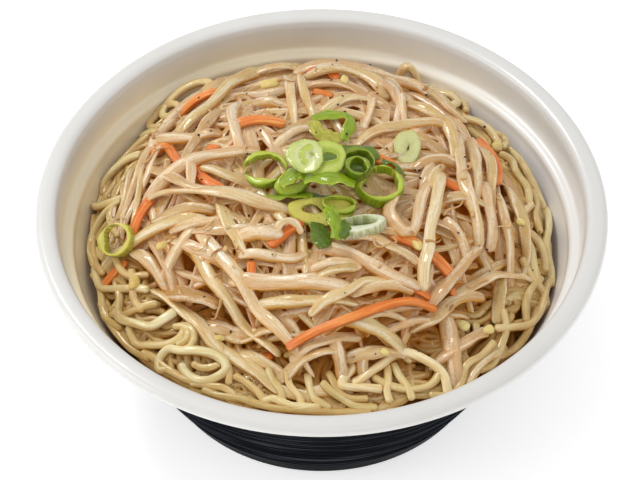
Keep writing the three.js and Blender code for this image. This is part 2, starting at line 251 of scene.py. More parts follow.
def turned_points(profile, sectors):
    """Points of a profile of (radius, height) turned about the Z axis, one row for each point."""
    angle = np.arange(sectors) * 2 * math.pi / sectors
    radius, height = np.asarray(profile, dtype=float).T
    x = radius[:, None] * np.cos(angle)
    y = radius[:, None] * np.sin(angle)
    z = np.broadcast_to(height[:, None], x.shape)
    return np.stack([x, y, z], axis=-1)


# ---- strands that lie on one another ----
# Steps of this share spread seeds evenly from 0 to 1.
GOLDEN = 0.618
# The cells, in millimetres, in which the pile's height is kept.
CELL = 0.5
HALF_SPAN = 96
SPREAD = np.arange(-HALF_SPAN, HALF_SPAN + CELL / 2, CELL)


def cells(x, y):
    """Row and column of the half-millimetre cells that places fall in."""
    low, high = 0, len(SPREAD) - 1
    row = np.clip(np.rint((x + HALF_SPAN) / CELL).astype(int), low, high)
    column = np.clip(np.rint((y + HALF_SPAN) / CELL).astype(int), low, high)
    return row, column


def blurred(field, width):
    """A field eased by three running means of the given width in cells, along each axis."""
    for _ in range(3):
        for axis in (0, 1):
            pad = [(width // 2, width // 2) if a == axis else (0, 0) for a in (0, 1)]
            padded = np.pad(field, pad, mode="edge")
            total = np.cumsum(padded, axis=axis)
            total = np.insert(total, 0, 0, axis=axis)
            upper = np.take(total, np.arange(width, total.shape[axis]), axis=axis)
            lower = np.take(total, np.arange(0, total.shape[axis] - width), axis=axis)
            field = (upper - lower) / width
    return field


def arc_plan(x0, y0, x1, y1, bow=0.0, sway=0.0, count=61):
    """A plan line from one place to another, bowed to its left by a parabola and swayed by a
    cubic that is nothing at its ends and middle."""
    s = np.linspace(-1, 1, count)
    length = math.hypot(x1 - x0, y1 - y0)
    left = np.array([y0 - y1, x1 - x0]) / length
    aside = bow * (1 - s**2) + sway * 2.6 * s * (1 - s**2)
    share = (s + 1) / 2
    line = np.array([x0, y0]) + share[:, None] * np.array([x1 - x0, y1 - y0])
    return line + aside[:, None] * left


def curve_plan(places, count=121):
    """A plan line through chosen places: each span is a Catmull-Rom cubic, and the points are
    then spaced evenly along it."""
    p = np.array(places, dtype=float)
    p = np.vstack([2 * p[0] - p[1], p, 2 * p[-1] - p[-2]])
    t = np.linspace(0, 1, 24, endpoint=False)[None, :, None]
    a, b, c, d = (p[i : len(p) - 3 + i][:, None, :] for i in range(4))
    spans = 0.5 * (2 * b + (c - a) * t + (2 * a - 5 * b + 4 * c - d) * t**2
                   + (3 * b - a - 3 * c + d) * t**3)
    line = np.vstack([spans.reshape(-1, p.shape[1]), p[-2]])
    run = np.concatenate([[0], np.cumsum(np.linalg.norm(np.diff(line, axis=0), axis=1))])
    even = np.linspace(0, run[-1], count)
    return np.stack([np.interp(even, run, line[:, k]) for k in range(line.shape[1])], axis=1)


EASED_LENGTH = 6


def rest_line(support, step, sag):
    """The line that a strand takes over what is under it: from each place under it a parabola
    falls away, faster with a higher sag, and the strand follows the highest, eased."""
    s = np.arange(len(support)) * step
    falls = support[None, :] - sag * (s[:, None] - s[None, :]) ** 2
    line = falls.max(axis=1)
    reach = max(3, int(round(EASED_LENGTH / step)) | 1)
    padded = np.pad(line, reach // 2, mode="reflect", reflect_type="odd")
    return np.convolve(padded, np.ones(reach) / reach, mode="valid")


class Pile:
    """What lies in the bowl so far: the height of its top in each cell."""

    def __init__(self, height):
        self.height = height

    def top(self, x, y):
        """The pile's height at places."""
        return self.height[cells(x, y)]

    def raise_to(self, x, y, heights):
        """Raises the cells that places fall in to heights, where they are lower."""
        np.maximum.at(self.height, cells(x, y), heights)

    def under(self, plan, width):
        """The highest cell under each place of a plan line, over most of the strand's width."""
        aside = np.array([-0.34, 0, 0.34]) * width
        places = plan[:, None, :] + aside[None, :, None] * leftwards(plan)[:, None, :]
        return self.top(places[..., 0], places[..., 1]).max(axis=1)

    def cover(self, path, width, height):
        """Raises the cells under a strand to the round top of its section."""
        share = np.linspace(-1, 1, 13)
        aside = (share * 0.5)[None, :, None] * width[:, None, None]
        places = path[:, None, :2] + aside * leftwards(path)[:, None, :]
        tops = path[:, 2:3] + 0.5 * height[:, None] * np.sqrt(1 - share**2)[None, :]
        self.raise_to(places[..., 0], places[..., 1], tops)

    def lay(self, plan, width, height, level, sag, low, high, lift=0.0):
        """Lays a strand along a plan line, and keeps it between low and high about the level and
        off the bowl's wall."""
        step = np.linalg.norm(np.diff(plan, axis=0), axis=1).mean()
        line = rest_line(self.under(plan, width.mean()), step, sag) + height.mean() * 0.5
        mean = level(plan[:, 0], plan[:, 1])
        line = mean + np.clip(line - mean, low, high) + lift
        wall = np.minimum(cone_radius(line) - WALL, LEDGE_RADIUS + 2) - 0.5 * width - 0.3
        held = np.minimum(1, wall / np.hypot(plan[:, 0], plan[:, 1]))
        path = np.column_stack([plan * held[:, None], line])
        self.cover(path, width, height)
        return path


def strand_rows(rows):
    """Places of the rows along a strand from 0 to 1, closer together towards its ends."""
    t = np.linspace(0, 1, rows)
    return t - 0.1 * np.sin(2 * math.pi * t)


def resampled(rows, values):
    """A field along a strand, taken again at the places of the given number of rows."""
    values = np.asarray(values, dtype=float)
    old = np.linspace(0, 1, len(values))
    new = strand_rows(rows)
    if values.ndim == 1:
        return np.interp(new, old, values)
    return np.stack([np.interp(new, old, values[:, k]) for k in range(values.shape[1])], axis=1)


def sweep_strands(strands, rows, sides, square, ribs=0.0):
    """Closed strands as one mesh. A section is a superellipse of the strand's width and height,
    squarer with a higher square and dented lengthwise by ribs, and rolled about its path. The
    rows within half a width of an end follow a half ellipse down to it. Each point keeps its
    place in the straight strand, moved on for each strand so that no two look alike."""
    def stacked(key):
        return np.stack([resampled(rows, strand.get(key, np.zeros(2))) for strand in strands])

    path, width, height, roll = (stacked(key) for key in ("path", "width", "height", "roll"))
    shift = np.array([strand["seed"] for strand in strands])[:, None]
    spans = np.linalg.norm(np.diff(path, axis=1), axis=2)
    distance = np.concatenate([np.zeros((len(strands), 1)), np.cumsum(spans, axis=1)], axis=1)
    nearest = np.minimum(distance, distance[:, -1:] - distance)
    ending = np.clip(nearest / (0.42 * width.mean(axis=1, keepdims=True)), 0.02, 1)
    rounding = np.sqrt(1 - (1 - ending) ** 2)
    side, rise = frame_along(path)
    angle = np.arange(sides) * 2 * math.pi / sides + math.pi / sides
    across, upward = superellipse(angle, 2 / square)
    twist = 0.12 * distance[..., None] + 40 * shift[..., None]
    dent = 1 + ribs * np.cos(3 * angle + twist) + 0.6 * ribs * np.cos(5 * angle - 1.7 * twist)
    u = 0.5 * (width * rounding)[..., None] * across * dent
    v = 0.5 * (height * rounding)[..., None] * upward * dent
    turned_u, turned_v = rotated(u, v, roll[..., None])
    points = (path[:, :, None, :] + turned_u[..., None] * side[:, :, None, :]
              + turned_v[..., None] * rise[:, :, None, :])
    count, each = len(strands), rows * sides
    base = np.arange(count)[:, None] * each
    quads = grid_quads(rows, sides)[:, ::-1] + base[..., None]
    tris = pole_fans(rows, sides, base, count * each + 2 * np.arange(count)[:, None])
    along = distance + 91 * shift
    grain = np.stack([u + 37 * shift[..., None], v, np.broadcast_to(along[..., None], u.shape)], axis=-1)
    ends = along[:, [0, -1]]
    grain_tips = np.stack([37 * shift + 0 * ends, 0 * ends, ends], axis=-1)
    tone = np.array([strand["tone"] for strand in strands])
    blush = 7.3 * shift[:, 0] % 1
    underside = np.clip(0.5 - 1.1 * turned_v / (0.5 * height[..., None]), 0, 1)
    ridge = np.clip(0.5 + 0.5 * (dent - 1) / max(ribs, 0.01), 0, 1) * np.ones_like(u)
    fields = {
        "underside": np.append(underside, np.zeros(2 * count)),
        "ridge": np.append(ridge, np.full(2 * count, 0.5)),
        "grain": np.vstack([grain.reshape(-1, 3), grain_tips.reshape(-1, 3)]),
        "tone": np.append(np.repeat(tone, each), np.repeat(tone, 2)),
        "blush": np.append(np.repeat(blush, each), np.repeat(blush, 2)),
    }
    points = np.vstack([points.reshape(-1, 3), path[:, [0, -1], :].reshape(-1, 3)])
    return points, quads, tris, fields


# ---- colours and shader groups ----
WHITE = (1, 1, 1, 1)


def linear(red, green, blue, alpha=1.0):
    """A colour given as 0 to 255 display values, as the linear colour that a shader takes."""
    c = np.array([red, green, blue]) / 255
    c = np.where(c <= 0.04045, c / 12.92, ((c + 0.055) / 1.055) ** 2.4)
    return (*c.tolist(), alpha)


def shades(stops):
    """Colour stops given as display values, with linear colours."""
    return [(place, linear(*colour)) for place, colour in stops]


def new_group(name, inputs, outputs):
    """An empty shader group with named sockets: {name: (kind, default)} in, {name: kind} out."""
    group = bpy.data.node_groups.new(name, "ShaderNodeTree")
    for socket, (kind, default) in inputs.items():
        made = group.interface.new_socket(socket, in_out="INPUT", socket_type=kind)
        if default is not None:
            made.default_value = default
    for socket, kind in outputs.items():
        group.interface.new_socket(socket, in_out="OUTPUT", socket_type=kind)
    return group, group.nodes.new("NodeGroupInput"), group.nodes.new("NodeGroupOutput")


def add_node(tree, kind, links=None, **settings):
    """A node with its settings made, and its named or numbered inputs linked or given values."""
    node = tree.nodes.new(kind)
    for key, value in settings.items():
        setattr(node, key, value)
    for socket, value in (links or {}).items():
        if isinstance(value, bpy.types.NodeSocket):
            tree.links.new(value, node.inputs[socket])
        else:
            node.inputs[socket].default_value = value
    return node


def add_ramp(tree, value, stops):
    """A colour ramp through (place, colour) stops."""
    node = add_node(tree, "ShaderNodeValToRGB", {"Fac": value})
    while len(node.color_ramp.elements) < len(stops):
        node.color_ramp.elements.new(0.5)
    for element, (place, colour) in zip(node.color_ramp.elements, stops):
        element.position = place
        element.color = colour
    return node.outputs["Color"]


def add_mix(tree, share, first, second, blend="MIX"):
    """Two colours mixed by a share, or blended."""
    links = {0: share, 6: first, 7: second}
    return add_node(tree, "ShaderNodeMix", links, data_type="RGBA", blend_type=blend).outputs[2]


def add_range(tree, value, low, high, to_low=0.0, to_high=1.0):
    """A value moved from one range to another, and held inside it."""
    links = {"Value": value, "From Min": low, "From Max": high, "To Min": to_low, "To Max": to_high}
    return add_node(tree, "ShaderNodeMapRange", links).outputs["Result"]


def add_math(tree, operation, *values):
    """The result of a math node on linked or constant values."""
    return add_node(tree, "ShaderNodeMath", dict(enumerate(values)), operation=operation).outputs[0]


def add_scaled(tree, place, factors):
    """Places multiplied by a factor along each axis."""
    return add_node(tree, "ShaderNodeVectorMath", {0: place, 1: factors}, operation="MULTIPLY").outputs[0]


def add_noise(tree, place, scale, detail, roughness=0.5):
    """Noise over places, around one half."""
    links = {"Vector": place, "Scale": scale, "Detail": detail, "Roughness": roughness}
    return add_node(tree, "ShaderNodeTexNoise", links).outputs[0]


def add_bump(tree, height, strength, distance):
    """Normals of a relief whose full height is a distance in millimetres."""
    links = {"Height": height, "Strength": strength, "Distance": distance * MM}
    return add_node(tree, "ShaderNodeBump", links).outputs[0]


def object_place(tree):
    """Where each point lies, in metres."""
    return add_node(tree, "ShaderNodeTexCoord").outputs["Object"]


def set_sockets(tree, node, **values):
    """Sets or links a node's sockets, named with underscores for spaces."""
    for key, value in values.items():
        socket = node.inputs[key.replace("_", " ")]
        if isinstance(value, bpy.types.NodeSocket):
            tree.links.new(value, socket)
        else:
            socket.default_value = value


def add_group(tree, group, **values):
    """The outputs of a shader group, its sockets set or linked as set_sockets does."""
    node = add_node(tree, "ShaderNodeGroup", node_tree=group)
    set_sockets(tree, node, **values)
    return node.outputs


def make_fibre_group():
    """Fine lines along a strand, slow mottling and small creases, from its own straight place."""
    group, start, end = new_group(
        "strand fibres",
        {"Place": ("NodeSocketVector", None), "Line Width": ("NodeSocketFloat", 0.5),
         "Mottle Size": ("NodeSocketFloat", 4.0)},
        {"Lines": "NodeSocketFloat", "Mottle": "NodeSocketFloat", "Relief": "NodeSocketFloat"})
    place = start.outputs["Place"]
    fine = add_math(group, "DIVIDE", 1.0, start.outputs["Line Width"])
    slow = add_math(group, "DIVIDE", 1.0, start.outputs["Mottle Size"])
    lines = add_noise(group, add_scaled(group, place, (1, 1, 0.07)), fine, 2.0, 0.55)
    mottle = add_noise(group, add_scaled(group, place, (1, 1, 0.4)), slow, 3.0, 0.6)
    creases = add_noise(group, add_scaled(group, place, (0.7, 0.7, 0.5)), fine, 3.0, 0.6)
    relief = add_math(group, "MULTIPLY_ADD", creases, 1.4, lines)
    set_sockets(group, end, Lines=lines, Mottle=mottle, Relief=relief)
    return group


def make_sauce_and_shade_group():
    """Sauce on the food: patches of it by place, and a tint of its colour that grows the deeper the food
    lies in the pile, partly sauce and partly painted shade.
    """
    group, start, end = new_group(
        "soy sauce and painted shade",
        {"Colour": ("NodeSocketColor", (0.8, 0.8, 0.8, 1)), "Depth": ("NodeSocketFloat", 0.0),
         "Sauce": ("NodeSocketColor", linear(120, 72, 22)), "Patches": ("NodeSocketFloat", 0.3),
         "Strength": ("NodeSocketFloat", 0.8)},
        {"Colour": "NodeSocketColor"})
    given = start.outputs
    patch = add_range(group, add_noise(group, object_place(group), 75.0, 3.0, 0.6), 0.5, 0.75)
    stained = add_math(group, "MULTIPLY", patch, given["Patches"])
    # Painted shade as well as sauce: the tint grows with the depth in the pile.
    sunk = add_math(group, "MULTIPLY", given["Depth"], given["Strength"])
    tint = add_mix(group, add_math(group, "MAXIMUM", stained, sunk), WHITE, given["Sauce"])
    set_sockets(group, end, Colour=add_mix(group, 1.0, given["Colour"], tint, "MULTIPLY"))
    return group


FIBRES = make_fibre_group()
SAUCE_AND_SHADE = make_sauce_and_shade_group()


def new_material(name):
    """A material with only its Principled shader and output, and the tree to add nodes to."""
    material = bpy.data.materials.new(name)
    material.use_nodes = True
    tree = material.node_tree
    tree.nodes.clear()
    shader = tree.nodes.new("ShaderNodeBsdfPrincipled")
    output = tree.nodes.new("ShaderNodeOutputMaterial")
    tree.links.new(shader.outputs[0], output.inputs[0])
    return material, tree, shader


def own_field(tree, name, socket="Fac"):
    """One of the mesh's own fields."""
    return add_node(tree, "ShaderNodeAttribute", attribute_name=name).outputs[socket]


# How much of a strand's tone its mottling moves.
MOTTLE_SHARE = 0.55


def strand_material(name, tones, blushes, line_width, mottle_size, line_shade, sauce, patches, strength,
                    roughness, bump, soft_share, soft_radius, coat, pale, painted_glow, painted_glow_strength):
    """Moist food in strands: a tone for each strand, darker lines along it, mottling, a painted highlight
    paler along its ridges, sauce that also stands for painted shade deep in the pile and on each strand's
    flanks, a wet gloss that varies, light that passes a little way in, and a painted warm emission, faint
    everywhere and stronger deep in the pile, standing in for light that comes through the food around."""
    material, tree, shader = new_material(name)
    shader.subsurface_method = "BURLEY"
    depth = own_field(tree, "depth")
    fibres = add_group(tree, FIBRES, Place=own_field(tree, "grain", "Vector"), Line_Width=line_width,
                       Mottle_Size=mottle_size)
    mottled = add_math(tree, "MULTIPLY_ADD", fibres["Mottle"], MOTTLE_SHARE, own_field(tree, "tone"))
    colour = add_ramp(tree, add_math(tree, "SUBTRACT", mottled, MOTTLE_SHARE / 2), shades(tones))
    blush = add_ramp(tree, own_field(tree, "blush"), shades(blushes))
    colour = add_mix(tree, 1.0, colour, blush, "MULTIPLY")
    lined = add_mix(tree, add_range(tree, fibres["Lines"], 0.36, 0.62), linear(*line_shade), WHITE)
    colour = add_mix(tree, 1.0, colour, lined, "MULTIPLY")
    # Painted highlight: the colour goes paler along the ridges of the relief, as much as pale allows.
    painted_crest_highlight = add_math(tree, "MULTIPLY", own_field(tree, "ridge"), fibres["Relief"])
    colour = add_mix(tree, add_range(tree, painted_crest_highlight, 0.64, 1.08, 0.0, pale), colour, linear(246, 234, 208))
    # Sauce and painted shade: deeper strands and each strand's flanks and underside take the sauce colour.
    sauced_and_shaded = add_group(tree, SAUCE_AND_SHADE, Colour=colour, Depth=depth, Sauce=linear(*sauce), Patches=patches,
                       Strength=strength)["Colour"]
    # Painted light: every strand glows faintly by emission, and more deeper in the pile, standing in for
    # light that comes through the food around.
    inside = add_range(tree, depth, 0.15, 1.1)
    set_sockets(tree, shader, Base_Color=sauced_and_shaded, IOR=1.42,
                Roughness=add_range(tree, fibres["Mottle"], 0.35, 0.7, *roughness),
                Normal=add_bump(tree, fibres["Relief"], bump, 0.5), Subsurface_Weight=soft_share,
                Subsurface_Radius=soft_radius, Subsurface_Scale=MM,
                Coat_Weight=add_range(tree, depth, 0.1, 0.7, coat, 0.0), Coat_Roughness=0.08,
                Emission_Color=add_mix(tree, inside, sauced_and_shaded, linear(*painted_glow)),
                Emission_Strength=add_range(tree, inside, 0.0, 1.0, 0.02, painted_glow_strength))
    return material


# In each kind, pale sets the painted highlight along the ridges, the sauce colour also tints deeper strands
# as painted shade, and the last two settings make a painted warm emission.
sprout_flesh = strand_material(
    "bean sprout flesh",
    [(0.0, (188, 144, 90)), (0.35, (206, 172, 126)), (0.7, (220, 192, 149)),
     (1.0, (231, 211, 179))],
    [(0.0, (255, 249, 249)), (0.5, (255, 255, 246)), (1.0, (250, 255, 226))],
    line_width=0.5, mottle_size=4.0, line_shade=(244, 230, 206), sauce=(246, 193, 50),
    patches=0.35, strength=1.0, roughness=(0.14, 0.34), bump=0.55, soft_share=0.62,
    soft_radius=(1.3, 0.9, 0.55), coat=0.7, pale=0.5, painted_glow=(255, 185, 60), painted_glow_strength=0.08)

noodle_dough = strand_material(
    "boiled wheat noodle",
    [(0.0, (184, 151, 88)), (0.4, (211, 184, 127)), (0.75, (233, 215, 168)),
     (1.0, (247, 237, 208))],
    [(0.0, (255, 250, 240)), (1.0, (250, 255, 246))],
    line_width=0.9, mottle_size=7.0, line_shade=(244, 232, 206), sauce=(188, 136, 34),
    patches=0.5, strength=1.15, roughness=(0.16, 0.36), bump=0.3, soft_share=0.25,
    soft_radius=(2.0, 1.3, 0.5), coat=0.6, pale=0.0, painted_glow=(255, 170, 60), painted_glow_strength=0.03)

carrot_flesh = strand_material(
    "cooked carrot",
    [(0.0, (204, 104, 34)), (0.4, (231, 139, 56)), (0.75, (241, 163, 84)),
     (1.0, (247, 196, 132))],
    [(0.0, (255, 250, 240)), (1.0, (255, 255, 255))],
    line_width=0.6, mottle_size=4.0, line_shade=(236, 190, 150), sauce=(150, 80, 30),
    patches=0.2, strength=0.6, roughness=(0.28, 0.45), bump=0.4, soft_share=0.3,
    soft_radius=(1.6, 0.9, 0.4), coat=0.3, pale=0.0, painted_glow=(255, 110, 30), painted_glow_strength=0.05)


def plastic_material(name, clean, smudge, roughness, coat, index, broth_and_painted_shade=None, painted_ridge_highlight=None):
    """Smooth vacuum-formed plastic with faint smudges and a slightly uneven gloss. A warm tint, partly
    broth on the wall and partly painted shade from the food's warm light, fades out up to the rim and
    thins rightwards to a clean wall, painted lighter there as the side that the left lamp lights.
    Lighter fine level lines that come and go round the side are painted highlights on the ridges."""
    material, tree, shader = new_material(name)
    place = object_place(tree)
    cloud = add_noise(tree, place, 28.0, 5.0, 0.6)
    colour = add_mix(tree, add_range(tree, cloud, 0.45, 0.75), clean, smudge)
    if broth_and_painted_shade is not None:
        apart = add_node(tree, "ShaderNodeSeparateXYZ", {0: place}).outputs
        uneven = add_math(tree, "MULTIPLY_ADD", cloud, 0.006, apart[2])
        # Broth and painted shade: the warm tint fills the lower inside wall and fades out up to the rim.
        broth_and_painted_shade_share = add_range(tree, uneven, (RIM_HEIGHT + 1) * MM, (LEDGE_HEIGHT + 2) * MM)
        # Painted light: the tint thins rightwards to near white, on the side that the left lamp lights.
        thin = add_range(tree, apart[0], 0.0, 0.07)
        colour = add_mix(tree, broth_and_painted_shade_share, colour, add_mix(tree, thin, broth_and_painted_shade, linear(246, 245, 242)))
    if painted_ridge_highlight is not None:
        # Painted highlights: lighter fine level lines round the side stand for light caught on the ridges.
        lines = add_noise(tree, add_scaled(tree, place, (26, 26, 1300)), 1.0, 2.0)
        colour = add_mix(tree, add_range(tree, lines, 0.52, 0.74), colour, painted_ridge_highlight)
    set_sockets(tree, shader, Base_Color=colour, Roughness=add_range(tree, cloud, 0.3, 0.7, *roughness),
                Normal=add_bump(tree, add_noise(tree, place, 420.0, 2.0), 0.08, 0.3), IOR=index,
                Coat_Weight=coat, Coat_Roughness=0.08)
    return material


# The last colour is the warm tint inside, partly broth and partly painted shade.
white_plastic = plastic_material("white bowl plastic", linear(220, 219, 216), linear(215, 213, 208),
                                 (0.28, 0.4), 0.3, 1.5, linear(246, 234, 204))
# The last colour is the painted highlight on the outside ridges.
black_plastic = plastic_material("black bowl plastic", linear(14, 16, 20), linear(24, 27, 31),
                                 (0.32, 0.44), 0.0, 1.03, painted_ridge_highlight=linear(66, 70, 76))


def core_material(name, dark, light):
    """Food deep in the pile, seen only between strands, in a dark brown that is partly sauce and partly
    painted shade for the gaps.
    """
    material, tree, shader = new_material(name)
    lumps = add_noise(tree, object_place(tree), 260.0, 4.0, 0.65)
    colour = add_ramp(tree, lumps, [(0.3, dark), (0.7, light)])
    set_sockets(tree, shader, Base_Color=colour, Roughness=0.5, Normal=add_bump(tree, lumps, 0.7, 2.0),
                IOR=1.25)
    return material


noodle_core = core_material("noodles in sauce and shade", linear(120, 74, 14), linear(172, 120, 40))
sprout_core = core_material("vegetables in sauce and shade", linear(172, 98, 20), linear(216, 146, 52))


def scallion_material(name, edge, skin, flesh, middle):
    """Sliced scallion: a green skin with fine lines along the leaf, paler inside, and cut faces
    that run from a pale edge through the skin and the flesh to the hollow."""
    material, tree, shader = new_material(name)
    fibres = add_group(tree, FIBRES, Place=own_field(tree, "grain", "Vector"), Line_Width=0.45,
                       Mottle_Size=3.0)
    wave = add_math(tree, "MULTIPLY_ADD", fibres["Mottle"], 0.35, own_field(tree, "layer"))
    section = add_ramp(tree, wave, [(0.14, edge), (0.24, skin), (0.6, flesh), (1.0, middle)])
    side = add_ramp(tree, add_range(tree, wave, 0.1, 1.2), [(0.0, skin), (0.75, flesh), (1.0, flesh)])
    lined = add_mix(tree, add_range(tree, fibres["Lines"], 0.35, 0.65), (0.6, 0.65, 0.36, 1), WHITE)
    side = add_mix(tree, 1.0, side, lined, "MULTIPLY")
    set_sockets(tree, shader, Base_Color=add_mix(tree, own_field(tree, "cut"), side, section),
                Roughness=add_range(tree, fibres["Mottle"], 0.3, 0.7, 0.22, 0.4),
                Normal=add_bump(tree, fibres["Relief"], 0.7, 0.4), IOR=1.4, Subsurface_Weight=0.5,
                Subsurface_Radius=(1.5, 1.6, 0.6), Subsurface_Scale=MM, Coat_Weight=0.5,
                Coat_Roughness=0.06)
    return material


# The colours of each kind of scallion: the cut edge, the skin, the flesh and round the hollow.
SCALLION_COLOURS = {
    "green scallion": ((216, 223, 128), (152, 178, 14), (187, 200, 62), (201, 210, 96)),
    "dark scallion leaf": ((172, 184, 66), (98, 127, 8), (136, 154, 26), (148, 162, 40)),
    "pale scallion": ((236, 236, 182), (186, 201, 76), (200, 211, 104), (160, 181, 40)),
    "yellowing scallion": ((228, 223, 148), (208, 198, 80), (210, 202, 98), (212, 200, 92)),
    "cream scallion": ((233, 229, 178), (214, 213, 144), (220, 219, 158), (210, 209, 140)),
    "bleached scallion": ((234, 234, 214), (230, 230, 206), (222, 224, 196), (200, 208, 160)),
    "white scallion": ((226, 229, 178), (196, 207, 114), (212, 217, 150), (215, 219, 160)),
}
SCALLION_KINDS = {name: scallion_material(name, *(linear(*colour) for colour in colours))
                  for name, colours in SCALLION_COLOURS.items()}


def speck_material(name, dark, light, scale, soft_share=0.0):
    """Small bits whose colour changes from one to the next and over each."""
    material, tree, shader = new_material(name)
    spots = add_noise(tree, object_place(tree), scale, 3.0)
    mixed = add_math(tree, "MULTIPLY_ADD", spots, 0.6, own_field(tree, "tone"))
    colour = add_ramp(tree, add_range(tree, mixed, 0.3, 1.3), [(0.0, dark), (1.0, light)])
    set_sockets(tree, shader, Base_Color=colour, Roughness=add_range(tree, spots, 0.3, 0.7, 0.3, 0.5),
                Normal=add_bump(tree, spots, 0.4, 0.3), IOR=1.4, Subsurface_Weight=soft_share,
                Subsurface_Radius=(1.5, 1.2, 0.4), Subsurface_Scale=MM)
    return material


pepper_skin = speck_material("ground black pepper", linear(28, 20, 14), linear(84, 60, 40), 900.0)
bean_flesh = speck_material("bean head flesh", linear(206, 172, 92), linear(238, 222, 150), 300.0, 0.3)
root_skin = speck_material("browned sprout root", linear(178, 128, 70), linear(222, 184, 128), 300.0, 0.3)


# ---- the bowl ----
def cone_radius(height):
    """Radius of the bowl's outer cone at a height, from the foot to the ledge."""
    share = np.maximum(height, 0) / (LEDGE_HEIGHT - 3)
    return FOOT_RADIUS + (LEDGE_RADIUS + WALL - FOOT_RADIUS) * share**1.03


def rounded(profile, radius, steps=5):
    """A profile with each corner turned into a parabola that starts and ends up to a radius away."""
    p = np.array(profile, dtype=float)
    out = [p[:1]]
    t = np.linspace(0, 1, steps)[:, None]
    for before, here, after in zip(p[:-2], p[1:-1], p[2:]):
        back, ahead = before - here, after - here
        start = here + back * min(radius / np.linalg.norm(back), 0.48)
        end = here + ahead * min(radius / np.linalg.norm(ahead), 0.48)
        out.append((1 - t) ** 2 * start + 2 * t * (1 - t) * here + t**2 * end)
    return np.vstack([*out, p[-1:]])


def turned_solid(profile, sectors):
    """A profile from the axis round to the axis again, turned, with a fan at each pole."""
    rings = turned_points(profile[1:-1], sectors)
    points = np.vstack([rings.reshape(-1, 3), [[0, 0, profile[0][1]], [0, 0, profile[-1][1]]]])
    return points, grid_quads(len(rings), sectors)[:, ::-1], pole_fans(len(rings), sectors)


def bowl_insides():
    """White side: the base from its middle, the cone, the ledge, the upper wall and the rim."""
    floor = FOOT_LIFT + WALL
    cone = lambda z: cone_radius(z) - WALL
    return rounded([
        (0, floor), (cone(floor) - 5, floor), (cone(floor + 1.4) - 1.4, floor + 1.1),
        (cone(floor + 4.5), floor + 4.5), (cone(30), 30), (cone(LEDGE_HEIGHT - 3.4), LEDGE_HEIGHT - 3.4),
        (LEDGE_RADIUS + 0.3, LEDGE_HEIGHT - 1.2), (LEDGE_RADIUS + 1.4, LEDGE_HEIGHT - 0.3),
        (UPPER_WALL_RADIUS - 1.2, LEDGE_HEIGHT), (UPPER_WALL_RADIUS - 0.5, LEDGE_HEIGHT + 0.9),
        (UPPER_WALL_RADIUS, RIM_HEIGHT - 3), (UPPER_WALL_RADIUS + 0.8, RIM_HEIGHT - 0.9),
        (FLANGE_INNER_RADIUS, RIM_HEIGHT - 0.15), (FLANGE_INNER_RADIUS + 1.6, RIM_HEIGHT),
        (RIM_RADIUS - 1.7, RIM_HEIGHT - 0.1), (RIM_RADIUS - 0.5, RIM_HEIGHT - 0.9),
        (RIM_RADIUS, RIM_HEIGHT - 2), (RIM_RADIUS, RIM_HEIGHT - RIM_LIP_DEPTH),
        (RIM_RADIUS - 0.9, RIM_HEIGHT - RIM_LIP_DEPTH)], 0.8)


def bowl_outsides():
    """Black side: under the flange, down the upper wall and the ridged cone, and the foot."""
    under = [(RIM_RADIUS - 1.2, RIM_HEIGHT - 1.7), (RIM_RADIUS - 2.2, RIM_HEIGHT - 1.2),
             (FLANGE_INNER_RADIUS + 0.6, RIM_HEIGHT - 1.3),
             (UPPER_WALL_RADIUS + WALL + 0.3, RIM_HEIGHT - 2.6),
             (UPPER_WALL_RADIUS + WALL - 0.5, LEDGE_HEIGHT + 0.4),
             (UPPER_WALL_RADIUS + WALL - 1.2, LEDGE_HEIGHT - 0.8),
             (LEDGE_RADIUS + WALL + 1, LEDGE_HEIGHT - 1.4)]
    z = np.linspace(LEDGE_HEIGHT - 3, 9, 260)
    share = np.clip((LEDGE_HEIGHT - 3 - z) / (LEDGE_HEIGHT - 12), 0, 1)
    ridge = np.where(share < 1, np.maximum(np.cos(2 * math.pi * OUTSIDE_RIDGES * share), 0) ** 3, 0)
    cone = np.column_stack([cone_radius(z) + OUTSIDE_RIDGE * ridge, z])
    foot = [(cone_radius(8), 8), (FOOT_RADIUS + 1, 2), (FOOT_RADIUS, 0), (FOOT_RADIUS - FOOT_WIDTH, 0),
            (FOOT_RADIUS - FOOT_WIDTH - 0.8, FOOT_LIFT), (0, FOOT_LIFT)]
    return np.vstack([rounded(under, 0.6), cone, rounded(foot, 0.5)])


def make_bowl():
    """The bowl in one turned shell, white inside and on the rim, black outside."""
    sectors = 192
    inside, outside = bowl_insides(), bowl_outsides()
    points, quads, tris = turned_solid(np.vstack([inside, outside]), sectors)
    is_outside = np.arange(len(quads) // sectors) > len(inside) - 2
    slots = np.concatenate([np.repeat(is_outside, sectors), np.repeat([False, True], sectors)]).astype(int)
    piece = make_piece("bowl_shell", points, quads, [white_plastic, black_plastic], tris=tris, slots=slots)
    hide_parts("bowl")


make_bowl()


# ---- what lies under the strands ----
def polar_core(name, level, reach, floor, material, rings=70, sectors=180):
    """A closed mound: polar rings of a level with strand-like relief, over a flat floor."""
    share = np.linspace(0, 1, rings)[1:, None]
    angle = np.arange(sectors)[None, :] * 2 * math.pi / sectors
    x, y = reach(angle) * share * np.cos(angle), reach(angle) * share * np.sin(angle)
    relief = np.sin(x / 1.7 + 2.3 * np.sin(y / 6.1)) * np.sin(y / 1.9 + 2.1 * np.sin(x / 5.3))
    top = np.stack([x, y, level(x, y) + 0.7 * relief], axis=-1)
    edge = np.stack([0.93 * x[-1], 0.93 * y[-1], np.full(sectors, float(floor))], axis=-1)
    points = np.vstack([top.reshape(-1, 3), edge, [[0, 0, level(0.0, 0.0)], [0, 0, floor]]])
    return make_piece(name, points, grid_quads(rings, sectors)[:, ::-1], material,
                      tris=pole_fans(rings, sectors))


NOODLE_CORE_DEPTH = 6.5
SPROUT_CORE_DEPTH = 7.5

